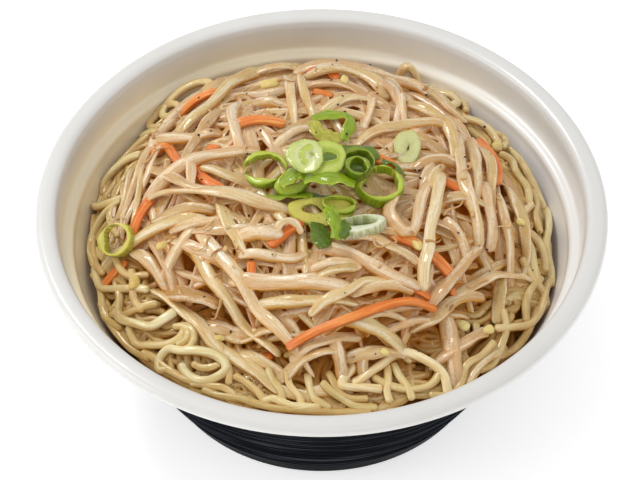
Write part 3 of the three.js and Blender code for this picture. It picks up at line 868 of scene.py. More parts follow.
noodle_base = polar_core("noodle_core", lambda x, y: noodle_top(x, y) - NOODLE_CORE_DEPTH,
                         lambda angle: noodle_reach(angle) - 1.5, 38, noodle_core)
sprout_base = polar_core("sprout_core", lambda x, y: heap_level(x, y) - SPROUT_CORE_DEPTH,
                         lambda angle: heap_reach(angle) - 5, 50, sprout_core)


# ---- the pile: random strands first, then the chosen ones in the order they lie ----
grid_x, grid_y = np.meshgrid(SPREAD, SPREAD, indexing="ij")
pile = Pile(np.where(heap_share(grid_x, grid_y) < 0.93,
                     heap_level(grid_x, grid_y) - SPROUT_CORE_DEPTH,
                     noodle_top(grid_x, grid_y) - NOODLE_CORE_DEPTH))
noodles = []
sprouts = []
carrots = {}


def laid_strand(plan, width, flatness, level, sag, low, high, lift=0.0, **looks):
    """A strand laid on the pile, its height a share of its width, with its seed, tone and roll."""
    path = pile.lay(plan, width, width * flatness, level, sag, low, high, lift)
    return dict(path=path, width=width, height=width * flatness, **looks)


def wavy_plan(chance, radius, length, turn, count=121):
    """A noodle's plan line: its heading swings in even waves and wanders by smooth turns, and
    turns back from the bowl's wall and from the middle."""
    angle = chance.uniform(0, 2 * math.pi)
    place = radius * np.array([math.cos(angle), math.sin(angle)])
    heading = chance.uniform(0, 2 * math.pi)
    step = length / (count - 1)
    bends = np.convolve(chance.normal(0, turn, count + 20), np.hanning(21) / 10, mode="valid")
    run = np.arange(len(bends)) * step
    swing = chance.uniform(0.1, 0.26)
    bends = bends + swing * np.sin(2 * math.pi * run / chance.uniform(11, 17) + chance.uniform(0, 6))
    line = [place]
    for bend in bends[: count - 1]:
        out = np.hypot(*place)
        aim = math.atan2(place[1], place[0])
        sideways, outwards = math.sin(heading - aim), math.cos(heading - aim)
        past_outside = max(0, out - NOODLE_TURN_OUTSIDE) / 6 * max(outwards + 0.35, 0)
        past_inside = max(0, NOODLE_TURN_INSIDE - out) / 10 * min(outwards, 0)
        back = 0.3 * (past_outside + past_inside) * (1 if sideways > 0 else -1)
        heading += step * (bend + back)
        place = place + step * np.array([math.cos(heading), math.sin(heading)])
        line.append(place * min(1, noodle_reach(aim) / np.hypot(*place)))
    return np.array(line)


def add_noodle(plan, width, tone, seed, low=-5.0, high=3.0, lift=0.0):
    """A noodle laid along its plan line, its middle lifted into a loop."""
    count = len(plan)
    wide = width * (1 + 0.05 * np.sin(np.linspace(0, 9, count) + 50 * seed))
    rise = lift * np.sin(np.linspace(0, math.pi, count)) ** 1.5
    roll = 0.7 * np.sin(np.linspace(0, 5, count) * (0.4 + seed) + 30 * seed)
    noodles.append(laid_strand(plan, wide, NOODLE_FLATNESS, noodle_top, NOODLE_SAG, low, high, rise,
                               roll=roll, seed=seed, tone=tone))


def emptiest(plans, level):
    """The plan line under which the pile is furthest below the level."""
    gaps = [np.mean(level(p[:, 0], p[:, 1]) - pile.top(p[:, 0], p[:, 1])) for p in plans]
    return plans[int(np.argmax(gaps))]


def beside(plan, aside):
    """A plan line moved to its left."""
    return plan + aside * leftwards(plan)


def fill_noodles(count, seed):
    """Bundles of two to four noodles that run side by side for a while, each bundle where the bed
    is still emptiest of seven places."""
    chance = np.random.default_rng(seed)
    for _ in range(count):
        plans = [wavy_plan(chance, chance.uniform(56, 75), chance.uniform(60, 105), 0.36) for _ in range(7)]
        plan = emptiest(plans, noodle_top)
        strands = chance.integers(2, 5)
        for k in range(strands):
            drift = np.linspace(chance.uniform(0.8, 1.5), chance.uniform(0.8, 1.5), len(plan))[:, None]
            start = chance.integers(0, 12)
            aside = (k - (strands - 1) / 2) * 1.05 * NOODLE_THICKNESS * drift
            line = beside(plan, aside)[start : len(plan) - chance.integers(0, 12)]
            out = np.hypot(line[:, 0], line[:, 1])
            reach = noodle_reach(np.arctan2(line[:, 1], line[:, 0]))
            line = line * np.minimum(1, reach / out)[:, None]
            # Painted shade: these lower noodles take darker tones than the listed ones on top.
            add_noodle(line, chance.normal(NOODLE_THICKNESS, 0.15), chance.uniform(0.0, 0.6),
                       chance.uniform(0, 1), high=1.0)


# Noodles that show, in the order they lie: width, tone, lift, then places along each. Those along the
# left wall have lower tones, as painted shade from the wall.
NOODLES = [
    (2.7, 0.4, 0, (-77, 14), (-77, 4), (-76.5, -4), (-75, -11), (-72, -18)),
    (2.6, 0.35, 0, (-73, -26), (-69, -36), (-63, -45), (-55, -53)),
    (2.7, 0.45, 0, (-76, -13), (-73, -22), (-71, -32), (-65, -40)),
    (2.6, 0.5, 0, (-72, -6), (-69, -12), (-66, -20), (-62, -24), (-56, -24)),
    (2.8, 0.7, 0.6, (-75.5, -11), (-74.5, -17), (-72.5, -22.5), (-67, -26.5), (-61.5, -29), (-56, -31)),
    (2.6, 0.6, 0.4, (-67, -25), (-66, -30), (-66, -35), (-63, -38)),
    (2.6, 0.55, 0.6, (-62.5, -21), (-61.5, -27), (-61, -33), (-58, -38)),
    (2.6, 0.5, 0, (-69, -33), (-65, -36), (-60, -36.5), (-53, -36)),
    (3.2, 0.85, 1, (-67.5, -32.5), (-65, -37.5), (-59.5, -41.5), (-55, -43.5), (-51, -42), (-47, -39)),
    (2.6, 0.65, 0, (-63, -40), (-60, -46), (-55.5, -48.5), (-50, -50.7), (-45.5, -50), (-43.5, -46)),
    (2.6, 0.6, 0.5, (-48, -45), (-43.5, -46.5), (-41, -50), (-42, -53.5), (-45, -54.5)),
    (2.5, 0.55, 0.8, (-45, -47), (-43, -49), (-43.6, -51.6), (-46.5, -52.5)),
    (2.6, 0.5, 0, (-58, -49), (-54, -53), (-50, -58), (-44, -62.5), (-38, -65)),
    (2.5, 0.5, 0, (-41.5, -58.7), (-37.5, -60.5), (-33, -60), (-29, -57)),
    (2.9, 0.85, 1.4, (-49, -58.5), (-52, -57.5), (-52, -54.4), (-49, -53), (-45, -55), (-39, -56),
     (-34, -57.5),
     (-30.6, -60.5), (-31, -63.2), (-35.5, -64.8), (-40, -63.7), (-43.5, -61), (-45, -58)),
    (2.5, 0.6, 0, (-32.4, -53.5), (-31.2, -58), (-29.5, -62), (-29.5, -67)),
    (2.6, 0.7, 0, (-42, -64), (-36, -65.8), (-31, -67.5), (-27, -70.5)),
    (2.5, 0.5, 0, (-38, -66.5), (-32, -69.6), (-25, -71.5), (-18, -74)),
    (2.5, 0.5, 0, (-28, -64), (-24, -66.5), (-20, -70), (-17, -74)),
    (2.6, 0.4, 0, (-24, -72), (-12, -75.5), (2, -76.5), (16, -75.5)),
    (2.5, 0.5, 0, (-17, -62), (-15.5, -66), (-13, -69.5), (-12, -74)),
    (2.5, 0.65, 0, (-11, -63), (-10, -68), (-7, -72), (-6, -76)),
    (2.7, 0.75, 0.5, (-19, -72.6), (-15.5, -72.2), (-12, -73.8), (-8, -75.4), (0, -75.4)),
    (2.5, 0.6, 0, (-4.5, -64), (-3.6, -69), (-2, -73), (3, -75.5)),
    (2.5, 0.5, 0, (0, -67.5), (3, -70.5), (6.5, -72.5), (11, -74.4), (18, -74.6)),
    (2.5, 0.4, 0, (2, -64), (5, -69.6), (8.5, -72), (15, -72)),
    (2.6, 0.55, 0, (16, -65), (22, -67.4), (28.3, -68), (34.6, -66), (38, -62)),
    (2.9, 0.85, 0.8, (8.7, -60.3), (9.7, -63.5), (7.1, -66.8), (6.6, -69), (9.7, -69.4), (14.2, -69),
     (19.5, -68.6)),
    (2.6, 0.7, 0.5, (20.6, -60), (21.2, -65.7), (20.8, -69.4), (22, -73)),
    (2.6, 0.75, 0.7, (22.6, -59.5), (25, -64.5), (27.3, -67.5), (29, -71.5)),
    (3.2, 0.9, 1.8, (9.5, -68), (12.3, -66.6), (15.2, -64.3), (19.3, -61.3), (22.5, -58.4), (27, -57),
     (31.4, -58),
     (36, -60.3), (39.2, -63.2), (40.5, -68)),
    (2.6, 0.5, 0, (34, -69), (40, -68), (44.3, -64.5), (46.5, -58.5), (51.5, -54), (56, -48)),
    (2.6, 0.55, 0, (50, -59), (55, -55), (57.8, -49), (60, -42), (59, -36)),
    (2.6, 0.4, 0, (57, -52), (63, -46), (68, -38), (71, -30)),
    (2.8, 0.65, 0.6, (77, -14), (74.5, -20.5), (73, -27), (71, -32.6), (67.5, -37.5), (62, -41), (56, -44)),
    (2.6, 0.5, 0, (73, -18), (69.5, -24), (67, -31), (67, -37)),
    (2.6, 0.55, 0, (66, -15), (69, -20), (73.5, -24), (75, -30)),
    (2.9, 0.7, 1, (71, 12), (68, 5.5), (65.6, 0), (66.6, -3.6), (70, -4.2), (73, -5.4), (74.4, -9),
     (74.6, -14)),
    (3.0, 0.55, 0.6, (63, -2), (66.6, -6), (69.4, -10), (70, -16), (72, -22)),
    (2.8, 0.75, 0.8, (76.4, 19), (77, 12), (76.6, 5), (75.6, 0), (75.4, -6), (76.6, -12), (76.4, -18)),
    (2.5, 0.5, 0, (71.5, 20), (73, 14), (72, 7), (73.5, 0)),
    (2.7, 0.75, 1.4, (57, 50), (62, 45), (66.5, 38), (69.4, 30), (72.6, 23), (76, 16)),
    (2.6, 0.6, 0.6, (61, 33), (65, 30), (66, 23), (70, 18), (70, 11)),
    (2.6, 0.65, 1.2, (43, 46), (50, 46), (56.5, 46), (60.5, 41), (60.5, 34)),
    (2.6, 0.55, 3, (58, 43), (62, 46), (64, 43), (62, 38)),
    (2.6, 0.5, 0, (31, 64), (38, 64), (43, 59), (46, 52)),
    (2.9, 0.8, 2.4, (33, 66), (38, 70), (43, 69), (46.5, 65), (47.5, 60), (45, 55)),
    (2.7, 0.7, 3.4, (38, 72), (45, 69), (50, 63), (50.5, 57)),
    (3.2, 0.8, 8, (27, 71), (28, 73), (31, 74), (34, 73), (35, 71)),
    (2.6, 0.45, 0, (8, 76), (18, 75), (29, 71.5), (40, 65)),
    (2.6, 0.5, 0, (-12, 77), (-22, 75), (-32, 71), (-41, 65)),
    (2.6, 0.6, 1, (-56, 40), (-58, 45), (-61.5, 47.5), (-62.5, 51.5), (-58, 55)),
    (2.6, 0.6, 4, (-49, 50), (-50, 56.5), (-54, 59), (-58.4, 56.4), (-59.5, 51), (-55, 47)),
    (2.8, 0.75, 6, (-50, 50), (-55, 54), (-54, 59.5), (-48, 63.5), (-42, 65), (-38.6, 62), (-43, 57),
     (-48, 54)),
    (2.6, 0.45, 0, (-70, 36), (-64, 44), (-56, 51), (-48, 58)),
    (2.6, 0.4, 0, (-75, 22), (-71, 32), (-65, 40), (-58, 47)),
    (2.8, 0.75, 3, (-61, 30), (-67, 31), (-72.6, 29), (-76.6, 24), (-77.6, 18.6), (-75, 13.4),
     (-70, 11.6), (-65, 12)),
    (2.7, 0.6, 0.8, (-67, 11), (-73, 9), (-77, 4.5), (-77.6, -2), (-76, -9), (-74.5, -14)),
    (2.6, 0.5, 0.4, (-68, 12), (-71, 7), (-70, 1), (-67, -6)),
]


def add_chosen_noodles():
    """Lays the noodles that show, each with a seed of its own."""
    for index, (width, tone, lift, *places) in enumerate(NOODLES):
        seed = (0.3 + GOLDEN * index) % 1
        add_noodle(curve_plan(places), width, tone, seed, low=-2.5, high=3.6, lift=lift)


def sprout_profile(count, seed, tail, tail_at_end):
    """Share of full width along a sprout: slow swelling and, towards its root, a long taper."""
    s = np.linspace(0, 1, count)
    towards = s if tail_at_end else 1 - s
    swell = 1 + 0.09 * np.sin(2 * math.pi * (1.3 * s + seed))
    swell = swell + 0.05 * np.sin(2 * math.pi * (3.1 * s + 5 * seed))
    return swell * (1 - tail * towards**3) * (1 - 0.35 * (1 - towards) ** 6)


def add_sprout(plan, width, tone, seed, tail=0.35, low=-5.0, high=2.6, dip=1.6):
    """A sprout laid along its plan line with small kinks, with both ends dipped into the pile."""
    count = len(plan)
    wide = width * sprout_profile(count, seed, tail, seed > 0.5)
    run = np.linalg.norm(np.diff(plan, axis=0), axis=1).sum() * np.linspace(0, 1, count)
    kinks = 0.14 * np.sin(run / 3.1 + 40 * seed) * np.sin(run / 8.3 + 17 * seed)
    ends = -dip * np.exp(-((np.minimum(run, run[-1] - run) / 4) ** 2))
    roll = 0.45 * np.sin(np.linspace(0, 4, count) * (0.5 + seed) + 20 * seed)
    sprouts.append(laid_strand(beside(plan, kinks[:, None]), wide, SPROUT_FLATNESS, food_level,
                               SPROUT_SAG, low, high, ends, roll=roll, seed=seed, tone=tone))


def random_sprout_plan(chance):
    """A slightly bowed plan line at a chance place and heading on the heap."""
    angle = chance.uniform(0, 2 * math.pi)
    radius = 0.95 * heap_reach(np.array(angle)) * math.sqrt(chance.uniform(0, 1))
    heading = chance.uniform(0, math.pi)
    half = chance.normal(50, 8) / 2
    x, y = radius * math.cos(angle), radius * math.sin(angle)
    dx, dy = half * math.cos(heading), half * math.sin(heading)
    return arc_plan(x - dx, y - dy, x + dx, y + dy, chance.normal(0, 2.2), chance.normal(0, 1.0))


def inside_heap(plan):
    """Whether both ends of a plan line lie on the heap, or just past its outline."""
    ends = plan[[0, -1]]
    return bool((heap_share(ends[:, 0], ends[:, 1]) < 1.08).all())


def fill_sprouts(count, high, seed):
    """Sprouts laid by chance, each where the heap is still emptiest of six places."""
    chance = np.random.default_rng(seed)
    for _ in range(count):
        plans = []
        while len(plans) < 6:
            plan = random_sprout_plan(chance)
            if inside_heap(plan):
                plans.append(plan)
        add_sprout(emptiest(plans, heap_level), chance.uniform(2.4, 4.5), chance.uniform(0.15, 0.8),
                   chance.uniform(0, 1), tail=chance.choice([0.3, 0.55, 0.85]), high=high)


fill_noodles(34, seed=31)
add_chosen_noodles()
fill_sprouts(175, high=-1.2, seed=57)

# Sprouts that show, in the order they lie: width, tone, tail, then places along each.
BACK_SPROUTS = [
    (5, 0.5, 0.4, (-34, 68), (-20, 73), (-4, 74)),
    (5, 0.5, 0.4, (-4, 72), (10, 74), (22, 70)),
    (5, 0.55, 0.4, (16, 73), (31, 67)),
    (6, 0.45, 0.3, (-10, 66), (8, 68), (20, 63), (28, 55)),
    (5, 0.4, 0.4, (22, 66), (33, 61), (40, 54), (44, 47), (50, 42)),
    (5.5, 0.55, 0.3, (-56, 40), (-47, 52), (-36, 60), (-24, 63)),
    (6, 0.5, 0.3, (-6, 56), (8, 59), (17, 55), (23, 46)),
    (5, 0.45, 0.3, (-8, 49), (6, 51), (16, 47)),
    (6, 0.6, 0.4, (-41, 52), (-31, 63), (-22, 67), (-8, 69)),
    (5, 0.6, 0.3, (12, 61), (30, 60), (38, 55)),
    (5, 0.35, 0.3, (-24, 41), (-10, 38)),
    (6, 0.3, 0.2, (19, 57), (25, 47), (27, 39), (26, 30)),
    (3, 0.85, 0.2, (27, 50), (27.5, 42), (28, 32)),
    (4.5, 0.5, 0.4, (29, 42), (38, 36), (46, 28)),
    (4.5, 0.75, 0.4, (-12, 60), (-10.5, 44), (-9, 29)),
    (4, 0.85, 0.4, (-8, 58), (-5, 41), (-2, 31)),
    (5, 0.45, 0.4, (-35, 43), (-42, 25), (-46, 12)),
    (6.2, 0.7, 0.3, (-50, 49), (-55, 39), (-57, 27)),
    (5, 0.55, 0.3, (-60, 34), (-52, 30), (-42, 27), (-33, 28)),
    (5.5, 0.6, 0.4, (-18, 72), (-31, 57), (-38, 45), (-50, 30)),
    (5, 0.95, 0.2, (-28, 43), (-30, 34), (-29, 25), (-26.5, 13)),
    (4.2, 0.85, 0.2, (0, 36), (9, 42), (17, 44.5)),
    (3.8, 0.9, 0.2, (17.5, 45), (16.5, 37), (14, 28)),
    (5, 0.65, 0.4, (10, 17), (18, 25), (30, 30), (45, 32)),
    (5.2, 0.8, 0.2, (-16, 18), (-9, 24), (-2, 28.5)),
    (3.4, 0.7, 0.5, (-57, 33), (-62, 14), (-68, -8)),
    (3.0, 0.85, 0.5, (-54, 30), (-59, 12), (-66, -6)),
    (3.2, 0.65, 0.5, (-64, 25), (-66, 8), (-71, -6)),
    (2.8, 0.8, 0.5, (-60, 22), (-61, 4), (-63, -10)),
    (2.6, 0.75, 0.5, (-67, 20), (-66, 5), (-66, -8)),
    (3.0, 0.6, 0.5, (-70, 17), (-70, 4), (-73, -10)),
    (3.0, 0.7, 0.9, (-54, 33), (-61, 37), (-67, 40), (-70, 44)),
]
LEFT_SPROUTS = [
    (4.5, 0.4, 0.3, (-24, -36), (-11, -38), (0, -37)),
    (4.5, 0.4, 0.3, (-44, -15), (-30, -19), (-18, -20)),
    (5, 0.35, 0.3, (-56, -8), (-46, -8), (-34, -9)),
    (5, 0.7, 0.3, (-50, -13), (-40, -14), (-30, -16)),
    (5, 0.4, 0.3, (-57, 17), (-50, 6), (-40, -2), (-30, -2)),
    (5.5, 0.65, 0.4, (-59, 1), (-47, 9), (-37, 13), (-20, 15)),
    (5, 0.6, 0.3, (-40, 9), (-31, 4), (-21, 2)),
    (4.2, 0.9, 0.2, (-43.5, 14), (-43, 7), (-43, -1)),
    (7, 0.1, 0.2, (-51, -31), (-43, -36), (-32, -42)),
    (6, 0.8, 0.2, (-28, -21), (-20, -23), (-12, -23)),
    (5.5, 0.5, 0.4, (-63, -13), (-57, -20), (-50, -31)),
    (4.5, 0.4, 0.3, (-56, -13), (-50, -26), (-47, -34)),
    (5, 0.75, 0.3, (-52, -28), (-44, -17), (-40, -12)),
    (5, 0.6, 0.3, (-22, -43), (-9, -46), (3, -46), (12, -46)),
    (3.2, 0.85, 0.3, (-16, -25), (-13, -20), (-9, -19), (-6, -22)),
    (5, 0.75, 0.3, (-34, -7), (-30, -17), (-25, -28)),
    (4.2, 0.95, 0.3, (-42, -10), (-37, -14), (-28, -14)),
    (6.5, 0.8, 0.3, (-30, -35.5), (-19, -38), (0, -41), (12, -42)),
    (4.2, 0.9, 0.2, (-27, -28), (-16, -30), (-9, -30.5), (-5, -27)),
    (5, 0.65, 0.4, (-39, -12), (-49, -11), (-60, -12.6), (-68.5, -13), (-75, -18)),
    (5.5, 0.55, 0.3, (-30, -30), (-42, -22), (-50, -16)),
    (5, 0.7, 0.4, (-43, -19), (-36, -33), (-30, -42), (-25, -48), (-20, -53), (-13, -59)),
    (6, 0.8, 0.8, (-40, -16), (-32, -28), (-26, -37), (-20, -46), (-12.6, -54.5), (-7.6, -61), (-2, -66)),
    (5.6, 0.85, 0.55, (-9, -10.5), (-20, -8), (-30, -5.5), (-40, -3), (-50, 0), (-59, 2)),
]
RIGHT_SPROUTS = [
    (5.5, 0.6, 0.3, (40, 38), (44, 26), (45, 12)),
    (5, 0.35, 0.3, (30, 10), (39, 14), (47, 13)),
    (5, 0.7, 0.3, (53, 30), (57, 18), (56.5, 4), (56, -5)),
    (5.5, 0.8, 0.2, (45.5, 30), (46, 20), (47, 8), (48, -4)),
    (5, 0.6, 0.2, (50.5, 32), (51.5, 20), (52, 6), (51, -2)),
    (5, 0.55, 0.3, (37, 12), (34, 3), (33, -8)),
    (3.4, 0.75, 0.3, (41, 12), (37, 5), (35, -6)),
    (4.2, 0.4, 0.3, (28, -18), (36, -14), (47, -18)),
    (5, 0.5, 0.3, (38, -4), (47, -3), (58, -4)),
    (5, 0.55, 0.3, (40, -12), (45, -19), (48, -27)),
    (6, 0.7, 0.3, (46, 12), (48, 0), (50.5, -10), (51.5, -20)),
    (5.5, 0.75, 0.3, (54, 8), (55.5, -5), (56, -13.5), (55, -20)),
    (4.5, 0.65, 0.3, (58.5, 5), (61, -9), (62, -16), (62, -26)),
    (6, 0.5, 0.3, (59, -24), (58, -31), (57, -41)),
    (4, 0.5, 0.3, (12, -19), (20, -20.5), (28, -22)),
    (5.5, 0.55, 0.4, (62, 14), (66, 2), (68, -12), (66, -22)),
    (6, 0.65, 0.3, (6, -21.5), (15.5, -23), (23, -27), (32, -31)),
    (6.6, 0.6, 0.3, (-3, -24), (8, -27.5), (15.5, -32), (23, -37), (32, -39)),
    (5, 0.75, 0.2, (-4, -33.5), (5.5, -32.5), (13, -34)),
    (5, 0.55, 0.3, (-4, -40), (3, -37.5), (12, -34)),
    (6, 0.45, 0.3, (13, -49), (24, -46), (33, -43)),
    (5, 0.8, 0.3, (-4, -50.5), (3, -46.5), (9, -43.5), (14, -39.5), (22, -37.5)),
    (5, 0.7, 0.3, (9, -44), (20, -40.5), (30, -40)),
    (6, 0.55, 0.3, (28, -51), (36, -46.5), (40, -42), (44, -38.5), (53, -34)),
    (6.5, 0.3, 0.3, (34, -44), (40, -37), (43.5, -32), (47, -26.5), (52, -19)),
    (5.5, 0.8, 0.4, (43, -38), (51.5, -31.5), (57, -26.5), (64.5, -22.5), (75, -20)),
    (5.6, 0.75, 0.2, (25, 3), (23.5, -7), (22, -13), (24, -18.5), (27, -21.5), (30, -20), (31.5, -14),
     (33, -6), (37, 4)),
    (5.8, 0.95, 0.2, (40, 8), (38.5, -2), (37, -10), (35.3, -18.5), (34.5, -26.5), (33, -33), (32.5, -40)),
]
FRONT_SPROUTS = [
    (5, 0.5, 0.3, (-34, -48), (-24.5, -51), (-14, -52)),
    (6, 0.4, 0.3, (-38, -44), (-30, -48), (-20, -51)),
    (5, 0.75, 0.2, (-28, -54), (-20, -59), (-12, -63)),
    (5, 0.65, 0.3, (-10, -61.5), (0, -58), (13, -55)),
    (6, 0.6, 0.3, (7, -62), (18, -59), (31, -56)),
    (7, 0.5, 0.3, (40, -44), (42, -55), (43, -67)),
    (6, 0.6, 0.3, (44, -66), (51, -56), (60, -46)),
    (5.5, 0.55, 0.3, (34, -60), (45, -52), (54, -44)),
    (5, 0.55, 0.3, (-16, -66), (-4, -62), (6, -60)),
    (5.5, 0.45, 0.3, (4, -57), (6, -64), (9, -71)),
    (4.5, 0.5, 0.3, (14, -58), (13, -64), (16, -70)),
    (5, 0.65, 0.3, (18, -53.5), (28, -49.5), (37, -46)),
    (4.2, 0.75, 0.3, (8, -52.5), (20, -49), (30, -49)),
    (6, 0.85, 0.1, (6, -51.5), (18, -54), (29, -57)),
    (5, 0.9, 0.2, (-8, -71), (-3, -70.5), (4, -69)),
    (5.8, 0.75, 0.4, (-56, -29), (-49, -35), (-41, -43), (-36, -50), (-33, -54), (-26, -59),
     (-20, -63.5), (-14.5, -68.3), (-7.7, -71), (1, -73.5)),
]


# Carrot strips: width, the most they may stand over the heap's level, then places along each.
CARROTS = {
    "front": (3.1, 5.2, (-11, -60), (-2, -57), (8, -53.6), (14, -51), (20, -48), (26, -45.6), (30, -45),
                     (37, -45.6)),
    "middle": (3.8, 2.4, (-17, -27), (-12, -22), (-6, -17)),
    "left_inner": (3.6, 1.4, (-42, 10), (-38, 3), (-32, -2)),
    "back_left": (3.0, 2.0, (-49, 49), (-42, 52), (-34, 54)),
    "back_inner": (3.6, 1.6, (-30, 27), (-21, 29), (-12, 28)),
    "left_upright": (3.2, 1.6, (-52, 27), (-49, 19), (-46, 10)),
    "left_short": (3.2, 1.6, (-58, 25), (-51, 28.5)),
    "right_edge": (3.4, 2.4, (53, 33), (57, 26), (59, 18), (58.5, 10)),
    "left_edge": (3.2, 2.4, (-56, 2), (-60, -4), (-63, -12)),
    "left_low": (3.2, 2.4, (-72, -21.5), (-64, -17)),
    "right_inner": (3.6, 1.2, (22, -21), (33, -25), (42, -32)),
    "back": (3.4, 1.2, (-5, 62), (1, 60), (6, 55)),
}


def add_carrot(key, low=-2.0):
    """A carrot strip laid along its line, its width waving a little."""
    width, high, *places = CARROTS[key]
    seed = len(carrots) * 0.31 % 1
    wide = width * (1 + 0.05 * np.sin(np.linspace(0, 7, 41) + 9 * seed))
    roll = 0.25 * np.sin(np.linspace(0, 3, 41) + 12 * seed)
    carrots["carrot_" + key] = laid_strand(
        curve_plan(places, 41), wide, CARROT_FLATNESS, food_level, CARROT_SAG, low, high,
        roll=roll, seed=seed, tone=0.35 + 0.4 * seed)


def add_chosen_sprouts(rows, share):
    """Lays chosen sprouts, at a share of their stated width."""
    for index, (width, tone, tail, *places) in enumerate(rows):
        seed = (0.5 + GOLDEN * index) % 1 * 0.5
        add_sprout(curve_plan(places, 61)[::-1], share * width, tone, seed, tail, low=-1.2, high=3.2)


for key in CARROTS:
    if key != "front":
        add_carrot(key)
add_chosen_sprouts(BACK_SPROUTS, 0.84)
add_chosen_sprouts(LEFT_SPROUTS, 0.9)
add_chosen_sprouts(RIGHT_SPROUTS, 0.78)
add_chosen_sprouts(FRONT_SPROUTS, 0.88)
add_carrot("front")


def place_strands(name, strands, material, rows, sides, square, ribs=0.0, above=0.5, deep=5.0):
    """One piece of all the strands, with how deep each point lies under the eased pile."""
    points, quads, tris, fields = sweep_strands(strands, rows, sides, square, ribs)
    fields["depth"] = depth_in_pile(points, fields.pop("underside"), above, deep)
    piece = make_piece(name, points, quads, material, fields, tris)
    return piece


eased_top = blurred(pile.height, 15)


def depth_in_pile(points, underside, above, deep):
    """From 0 just under the eased surface of the pile to 0.7 deeper down, and more on the flanks and the
    underside of each strand. It sets the sauce tint, which there is partly sauce and partly painted shade."""
    over = eased_top[cells(points[:, 0], points[:, 1])]
    return np.clip((over - above - points[:, 2]) / deep, 0, 1) * 0.7 + 0.8 * underside


noodle_piece = place_strands("noodle_strands", noodles, noodle_dough, rows=60, sides=10,
                             square=3.2, above=0.0, deep=3.5)
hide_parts("noodles")
sprout_piece = place_strands("bean_sprouts", sprouts, sprout_flesh, rows=30, sides=12,
                             square=2.6, ribs=0.05)
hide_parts("sprout_heap")
for name, strip in carrots.items():
    piece = place_strands(name + "_strip", [strip], carrot_flesh, rows=40, sides=16, square=6)
    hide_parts(name)


# ---- the small bits ----
def make_blobs(name, middles, sizes, headings, lumps, tones, seeds, material, rows, columns):
    """Lumpy balls as one mesh: spheres by latitude and longitude, stretched to each size, with
    sine lumps, turned about Z and set at each middle."""
    latitude = np.linspace(0, math.pi, rows + 2)[1:-1][None, :, None]
    longitude = np.arange(columns) * 2 * math.pi / columns
    own = np.asarray(seeds)[:, None, None]
    lump = 1 + lumps * np.sin(3 * longitude + 31 * own) * np.sin(2 * latitude + 17 * own)
    out = lump * np.sin(latitude)
    ball = np.stack([out * np.cos(longitude), out * np.sin(longitude), lump * np.cos(latitude)], axis=-1)
    poles = np.zeros((len(seeds), 2, 3))
    poles[:, :, 2] = 1, -1
    ball = np.concatenate([ball.reshape(len(seeds), -1, 3), poles], axis=1)
    ball = ball * 0.5 * np.asarray(sizes)[:, None, :]
    x, y = rotated(ball[..., 0], ball[..., 1], np.asarray(headings)[:, None])
    points = np.stack([x, y, ball[..., 2]], axis=-1) + np.asarray(middles)[:, None, :]
    each = rows * columns + 2
    base = np.arange(len(seeds))[:, None, None] * each
    piece = make_piece(name, points, base + grid_quads(rows, columns)[:, ::-1], material,
                       {"tone": np.repeat(tones, each)}, base + pole_fans(rows, columns))


def on_pile(x, y, above):
    """Places in space that lie a little above the pile."""
    return np.column_stack([x, y, pile.top(x, y) + above])


def curled_plan(chance, x, y, length, turn, count=41):
    """A line whose heading swings slowly and tightens towards its end."""
    s = np.linspace(0, 1, count)
    heading = chance.uniform(0, 2 * math.pi) + turn * s**2 + 0.5 * np.sin(7 * s + chance.uniform(0, 6))
    step = length / (count - 1) * np.column_stack([np.cos(heading), np.sin(heading)])
    return np.array([x, y]) + np.cumsum(step, axis=0) - step[0]


def make_roots(count, seed, middle=24):
    """Thin browned root tails, each a taper that curls, over the sprouts outside their middle."""
    chance = np.random.default_rng(seed)
    roots = []
    for _ in range(count):
        angle = chance.uniform(0, 2 * math.pi)
        out = 0.98 * heap_reach(np.array(angle)) * math.sqrt(chance.uniform(0.03, 1))
        if out < middle:
            continue
        plan = curled_plan(chance, out * math.cos(angle), out * math.sin(angle),
                           chance.uniform(5, 14), chance.uniform(-3, 3))
        wide = chance.uniform(0.7, 1.2) * (1 - 0.7 * np.linspace(0, 1, len(plan)))
        roots.append(laid_strand(plan, wide, ROOT_FLATNESS, food_level, ROOT_SAG, -2, 6,
                                 seed=chance.uniform(0, 1), tone=chance.uniform(0, 1)))
    points, quads, tris, fields = sweep_strands(roots, rows=22, sides=8, square=2)
    fields.pop("underside")
    make_piece("sprout_roots", points, quads, root_skin, fields, tris)


# Small bits of carrot between the sprouts: width, then places along each.
CARROT_BITS = [
    (3.2, (-21, -55.5), (-15.5, -58.5)),
    (3.0, (40.5, 3.5), (50, -2)),
    (2.6, (41.5, -36.5), (45.5, -38)),
    (2.6, (54.5, -37.5), (57.5, -39.5)),
    (3.0, (-38.5, 20.5), (-33.5, 19.5)),
    (3.8, (15, 13), (20, 11), (25, 8)),
    (3.0, (28.5, -39), (36, -41)),
    (3.0, (-22.5, -30.5), (-22.5, -37)),
    (2.6, (-3, 47), (4, 45)),
]


def make_carrot_bits():
    """The small bits of carrot, sunk a little into the heap."""
    bits = []
    for index, (width, *places) in enumerate(CARROT_BITS):
        seed = 0.37 * index % 1
        bits.append(laid_strand(curve_plan(places, 21), np.full(21, float(width)), BIT_FLATNESS,
                                food_level, BIT_SAG, -1.5, 2.2, -0.9, seed=seed, tone=0.2 + 0.5 * seed))
    place_strands("carrot_bits", bits, carrot_flesh, rows=16, sides=12, square=5)


make_roots(24, seed=19)
make_carrot_bits()


